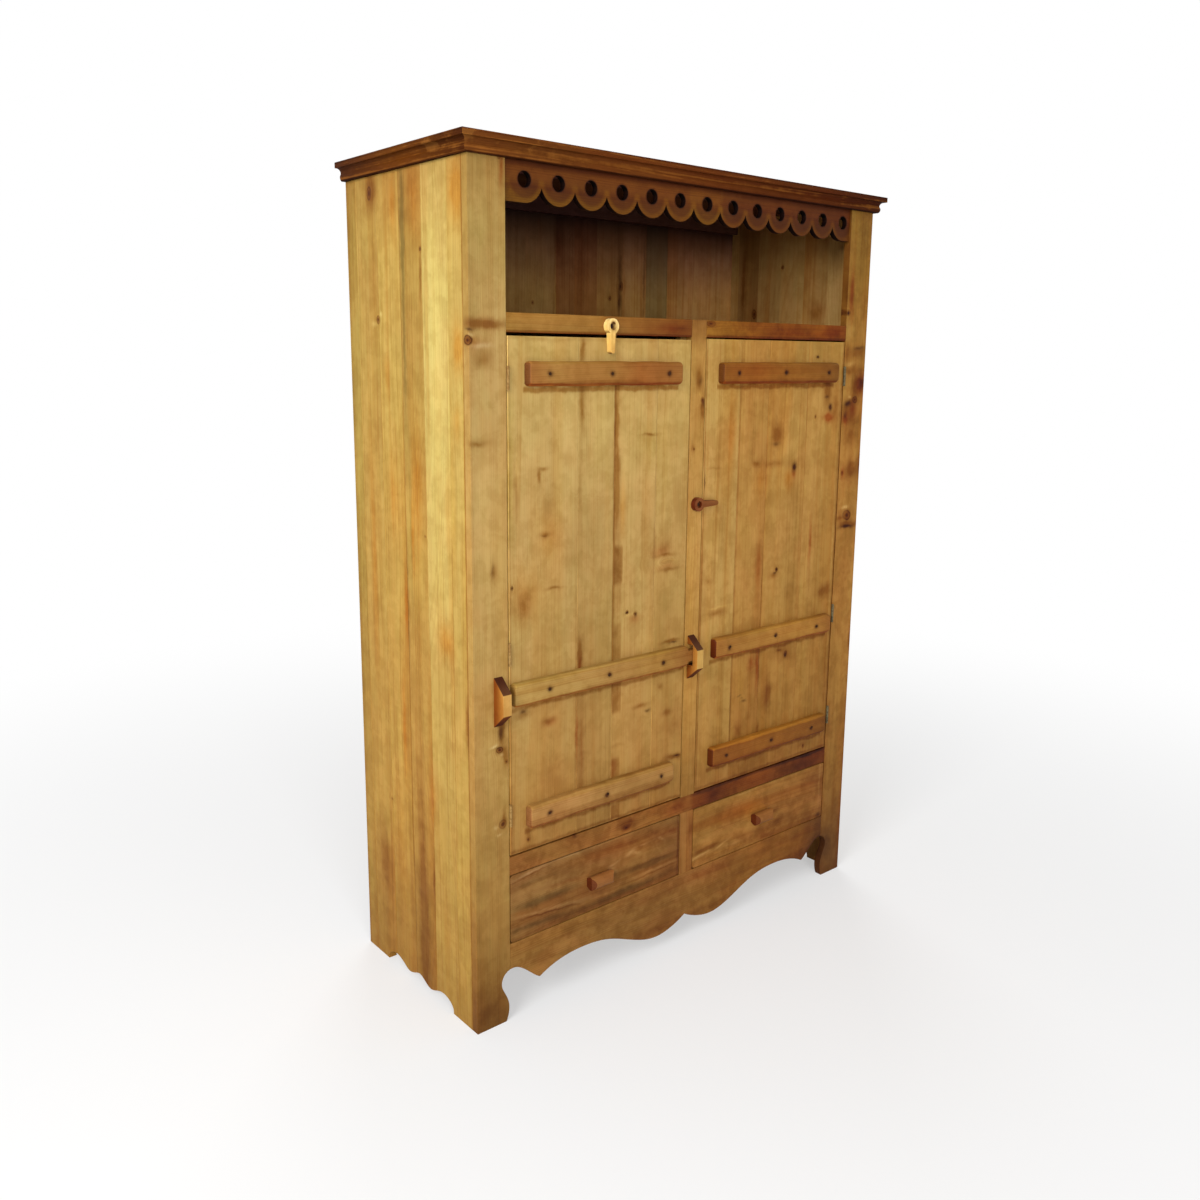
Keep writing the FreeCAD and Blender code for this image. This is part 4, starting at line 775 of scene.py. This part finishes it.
LOOKS["right_side_boards"] = dict(
    LOOKS["left_side_boards"], seed=34.0, strips=(), lines=0.7,
    boards=seams(
        (-212, -163, -108, -23, 62, 147, 226, 268),
        [(0.88, 0.8, 0.62), (0.94, 0.88, 0.72), (0.88, 0.76, 0.58), (0.86, 0.78, 0.6), (0.84, 0.76, 0.6),
         (0.62, 0.5, 0.36), (0.86, 0.8, 0.62)]),
    knots=[(57, 1741, 5, 6, 1), (160, 1612, 7, 12, 0.9), (-90, 1250, 8, 10, 0.9), (110, 940, 10, 12, 0.8),
           (20, 520, 9, 9, 0.8), (190, 260, 7, 8, 0.8)],
    stains_and_shades=dict(
        brown=[
            (206, 1700, 8, 120, 0.8), (-75, 1610, 26, 34, 0.7), (20, 1200, 20, 260, 0.4),
            (-60, 500, 24, 200, 0.4), (150, 800, 16, 300, 0.4)],
        orange=[(60, 1350, 24, 120, 0.5), (-150, 900, 18, 200, 0.5), (100, 300, 26, 160, 0.4)]),
    faces=[("X", -0.5, -0.9, (0.92, 0.8, 1.1))])
LOOKS["top_boards"] = dict(
    depth="Z", tones=[(-661, 140, 94, 46), (661, 140, 94, 46)], seed=35.0,
    boards=seams(
        (-232, -132, -32, 68, 168, 268),
        [(0.92, 0.9, 0.86), (1, 1, 1), (0.88, 0.84, 0.78), (0.97, 0.95, 0.9), (0.9, 0.87, 0.8)]),
    knots=[(-60, 300, 9, 14, 0.9), (120, -340, 8, 12, 0.9), (220, 120, 7, 9, 0.8)],
    # painted shade on the underside, the ceiling of the bay
    faces=[("Z", -0.5, -0.9, (0.3, 0.22, 0.24))])
# dark tones: painted shade on the cleats at the top of the bay
LOOKS["top_cleats"] = dict(tones=[(-616, 62, 34, 36), (616, 84, 52, 40)], seed=60.0)
INNER_TONES = {"X": [(-661, 132, 100, 54), (661, 132, 100, 54)],
               "Y": [(-268, 132, 100, 54), (268, 132, 100, 54)],
               "Z": [(0, 118, 88, 46), (1905, 136, 104, 58)]}
METAL = ("nails", "screw", "hinge")
INNER = sorted(name for name in nodes if name not in LOOKS and not any(word in name for word in METAL))
for number, name in enumerate(INNER):
    low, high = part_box(name)
    size = high - low
    longest = max(range(3), key=lambda n: size[n])
    thinnest = min(range(3), key=lambda n: size[n])
    if thinnest == longest:
        thinnest = (longest + 1) % 3
    grain = AXES[longest]
    LOOKS[name] = dict(grain=grain, depth=AXES[thinnest], tones=INNER_TONES[grain], seed=36.0 + number)

RUST = 160.0  # patches of rust in a metre
RUST_DEPTH = 0.0003


def steel(name, colour, worn, rough, metal, sheen=0.5):
    """Old steel with rust-brown patches."""
    material, (x, y, z) = fresh_material(name)
    grime = noise(x * RUST, y * RUST, z * RUST, 4.0, 0.6)
    shade = mix(smooth(grime, 0.42, 0.62), colour, worn)
    bare = smooth(grime, 0.4, 0.62, metal, 0.1)
    bump = Value.node("Bump", {"Height": grime, "Strength": 0.3, "Distance": RUST_DEPTH})
    shader = Value.node("BsdfPrincipled", {
        "Base Color": shade, "Roughness": grime * 0.3 + rough, "Metallic": bare, "Normal": bump,
        "Specular IOR Level": sheen})
    Value.node("OutputMaterial", {"Surface": shader})
    return material


# by the first word that is in the name
STEELS = {"nails": steel("nail_steel", tint(52, 32, 14), tint(34, 18, 8), 0.7, 0.0, 0.15),
          "screw": steel("screw_steel", tint(58, 34, 22), tint(40, 20, 12), 0.6, 0.1, 0.2),
          "left": steel("left_hinge_steel", tint(146, 116, 66), tint(128, 94, 48), 0.6, 0.0, 0.15),
          "right": steel("right_hinge_steel", tint(104, 94, 62), tint(74, 56, 32), 0.6, 0.3)}


# ---- battens, planed by hand and worn ----

# back and nose are the faces towards the boards and the room, half is half the height. wear is the most
# wood gone from an edge, a corner or the nose, waves and nicks how often that changes in a metre. round is
# how far in from an end, and how much of each corner is gone there.
BATTEN = SimpleNamespace(back=-0.232, nose=-0.252, half=0.027, bevel=0.005, wear=0.002, corner_wear=0.004,
                         nose_wear=0.0006, waves=14.0, nicks=55.0, step=0.011, tongue_in=0.02,
                         tongue_back=-0.2335,
                         round=((0.0, 0.006), (0.002, 0.0032), (0.005, 0.0012), (0.01, 0.0)))


def worn(x, height, channel, most):
    """How much wood is gone at x from one edge of the batten at this height, from none to most."""
    coarse = fields.noise(Vector((x * BATTEN.waves, channel * 5.3, height * 7.0)))
    fine = fields.noise(Vector((x * BATTEN.nicks, channel * 5.3, height * 7.0)))
    return most * min(max(0.5 + 0.7 * coarse + 0.3 * fine, 0.0), 1.0)


def hewn(node, body, tongue=None):
    """A batten with wavy worn edges, in place of the plain one, and its tongue (start, end, half height)."""
    low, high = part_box(node)
    x0 = low.x
    x1 = tongue[0] if tongue else high.x
    middle = (low.z + high.z) / 2
    margin = BATTEN.round[-1][0]
    run = x1 - x0 - 2 * margin
    inner = round(run / BATTEN.step)
    places = [(x0 + out, cut) for out, cut in BATTEN.round[:-1]]
    places += [(x0 + margin + run * n / inner, 0.0) for n in range(inner + 1)]
    places += [(x1 - out, cut) for out, cut in reversed(BATTEN.round[:-1])]
    count = len(places) - 1
    vertices = []
    faces = []
    for n, (x, cut) in enumerate(places):
        end = n in (0, count)
        nose = BATTEN.nose + worn(x, middle, 0, BATTEN.nose_wear) + (BATTEN.bevel if end else 0.0)
        top = middle + BATTEN.half - worn(x, middle, 1, BATTEN.wear) - cut
        bottom = middle - BATTEN.half + worn(x, middle, 2, BATTEN.wear) + cut
        upper = BATTEN.bevel * 0.7 + worn(x, middle, 3, BATTEN.corner_wear)
        lower = BATTEN.bevel * 0.7 + worn(x, middle, 4, BATTEN.corner_wear)
        section = [(BATTEN.back, bottom), (nose + lower, bottom), (nose, bottom + lower),
                   (nose, top - upper), (nose + upper, top), (BATTEN.back, top)]
        if end:
            section = [(max(y, BATTEN.nose + BATTEN.bevel), z) for y, z in section]
        vertices += [(x, y, z) for y, z in section]
    for n in range(count):
        start = n * 6
        faces += [(start + k, start + (k + 1) % 6, start + 6 + (k + 1) % 6, start + 6 + k) for k in range(6)]
    faces.append(tuple(range(5, -1, -1)))
    faces.append(tuple(range(count * 6, count * 6 + 6)))
    if tongue:
        start = len(vertices)
        _, reach, half = tongue
        vertices += [(x, y, middle + z) for x in (x1 - BATTEN.tongue_in, reach)
                     for y in (BATTEN.nose + BATTEN.nose_wear, BATTEN.tongue_back) for z in (-half, half)]
        faces += [tuple(start + k for k in face) for face in (
            (0, 1, 3, 2), (4, 6, 7, 5), (0, 4, 5, 1), (2, 3, 7, 6), (0, 2, 6, 4), (1, 5, 7, 3))]
    mesh = bpy.data.meshes.new("hewn_" + node)
    mesh.from_pydata(vertices, [], faces)
    mesh.validate()
    mesh.shade_smooth()
    piece = bpy.data.objects.new("hewn_" + node, mesh)
    bpy.context.scene.collection.objects.link(piece)
    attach(piece, body)
    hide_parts(node)
    return piece


TONGUE_START, TONGUE_HALF = -0.026, 0.014
made = {}
for side, heights in (("left", ("top", "bottom")), ("right", ("top", "middle", "bottom"))):
    for height in heights:
        name = side + "_" + height + "_batten"
        made[name] = hewn(name, side + "_door")
tongue = (TONGUE_START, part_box("latch_bar")[1].x, TONGUE_HALF)
made["latch_bar"] = hewn("latch_bar", "left_door", tongue=tongue)

# how wide edges are rounded, in millimetres: wood by a word in the piece's name, other wood, and metal
EASED = {"batten": 2.2, "latch_bar": 2.2, "bracket": 1.6, "turn_button": 2.5, "pull": 2.0, "valance": 1.6,
         "crown": 1.2, "door_boards": 0.5, "side_boards": 0.3, "stile": 1.4, "post": 1.2,
         "drawer_front": 1.2}
OTHER_WOOD_EASED = 0.8
METAL_EASED = 0.25
for name, piece in nodes.items():
    piece = made.get(name, piece)
    if name in LOOKS:
        material = pine(name, **LOOKS[name])
        eased = next((width for word, width in EASED.items() if word in name), OTHER_WOOD_EASED)
    else:
        material = next(kind for word, kind in STEELS.items() if word in name)
        eased = METAL_EASED
    piece.data.materials.clear()
    piece.data.materials.append(material)
    if name not in made:
        weld = piece.modifiers.new("weld", "WELD")
        weld.merge_threshold = 0.00001
    bevel = piece.modifiers.new("worn_edges", "BEVEL")
    bevel.width = eased * MM
    bevel.segments = 3
    bevel.limit_method = "ANGLE"
    bevel.angle_limit = math.radians(30)
    weight = piece.modifiers.new("normals", "WEIGHTED_NORMAL")
    weight.keep_sharp = False


# ---- floor, light and camera ----

def studio_floor():
    """A pale floor that keeps the shadow and turns to plain white further out."""
    material, (x, y, _) = fresh_material("floor_white")
    near, away = 0.6, 3.6
    far = smooth(squares(x, y).maths("SQRT"), near, away, 0.45, 1.0)
    seen = Value.node("LightPath", {}, "Is Camera Ray")
    matte = Value.node("BsdfDiffuse", {"Color": (0.85, 0.85, 0.85, 1)})
    white = Value.node("Emission", {"Color": (1, 1, 1, 1), "Strength": 1.0})
    both = Value.node("MixShader", {0: far * seen, 1: matte, 2: white})
    Value.node("OutputMaterial", {"Surface": both})
    return material


bpy.ops.mesh.primitive_circle_add(vertices=96, radius=14.0, fill_type="NGON", location=(0, 0, 0))
floor = bpy.context.object
floor.name = "floor"
floor.data.materials.append(studio_floor())


def lamp(name, place, aim, size, power):
    """A square lamp: its width in metres, its power in watts."""
    light = bpy.data.lights.new(name, "AREA")
    light.energy = power
    light.size = size
    holder = bpy.data.objects.new(name, light)
    holder.location = place
    holder.rotation_euler = (Vector(aim) - Vector(place)).to_track_quat("-Z", "Y").to_euler()
    bpy.context.scene.collection.objects.link(holder)


lamp("key", (-4.4, -1.8, 3.0), (0, 0, 1.2), 2.2, 190)
lamp("fill", (-2.2, -4.8, 2.0), (0, 0, 1.1), 1.6, 130)
lamp("back", (3.0, 4.2, 3.0), (0, 0, 1.0), 3.0, 120)
AMBIENT = 0.4
world = bpy.data.worlds.new("studio")
bpy.context.scene.world = world
world.use_nodes = True
world.node_tree.nodes.clear()
Value.tree = world.node_tree
rays = [Value.node("LightPath", {}, kind)
        for kind in ("Is Camera Ray", "Is Glossy Ray", "Is Transmission Ray")]
seen = rays[0].maths("MAXIMUM", rays[1]).maths("MAXIMUM", rays[2])
sky = Value.node("Background", {"Color": (1, 1, 1, 1), "Strength": seen * (1 - AMBIENT) + AMBIENT})
Value.node("OutputWorld", {"Surface": sky})

EYE = (-1.80839, -2.04562, 1.48787)
YAW, PITCH, ROLL = 0.698009, -0.187796, 0.0101708
# pixels: the side of the render, the focal length and the place straight ahead of the eye
IMAGE = 1200
FOCAL = 1070.53
CENTRE = (602.92, 559.19)
SENSOR = 36
forward = Vector((math.sin(YAW) * math.cos(PITCH), math.cos(YAW) * math.cos(PITCH), math.sin(PITCH)))
level = Vector((math.cos(YAW), -math.sin(YAW), 0))
upward = level.cross(forward)
camera_x = math.cos(ROLL) * level + math.sin(ROLL) * upward
camera_y = math.cos(ROLL) * upward - math.sin(ROLL) * level
lens = bpy.data.cameras.new("camera")
camera = bpy.data.objects.new("camera", lens)
bpy.context.scene.collection.objects.link(camera)
view = Matrix((camera_x, camera_y, -forward)).transposed().to_4x4()
view.translation = EYE
camera.matrix_world = view
lens.sensor_width = SENSOR
lens.lens = FOCAL / IMAGE * SENSOR
lens.shift_x = (IMAGE / 2 - CENTRE[0]) / IMAGE
lens.shift_y = (CENTRE[1] - IMAGE / 2) / IMAGE
bpy.context.scene.camera = camera
bpy.context.scene.view_settings.view_transform = "Standard"
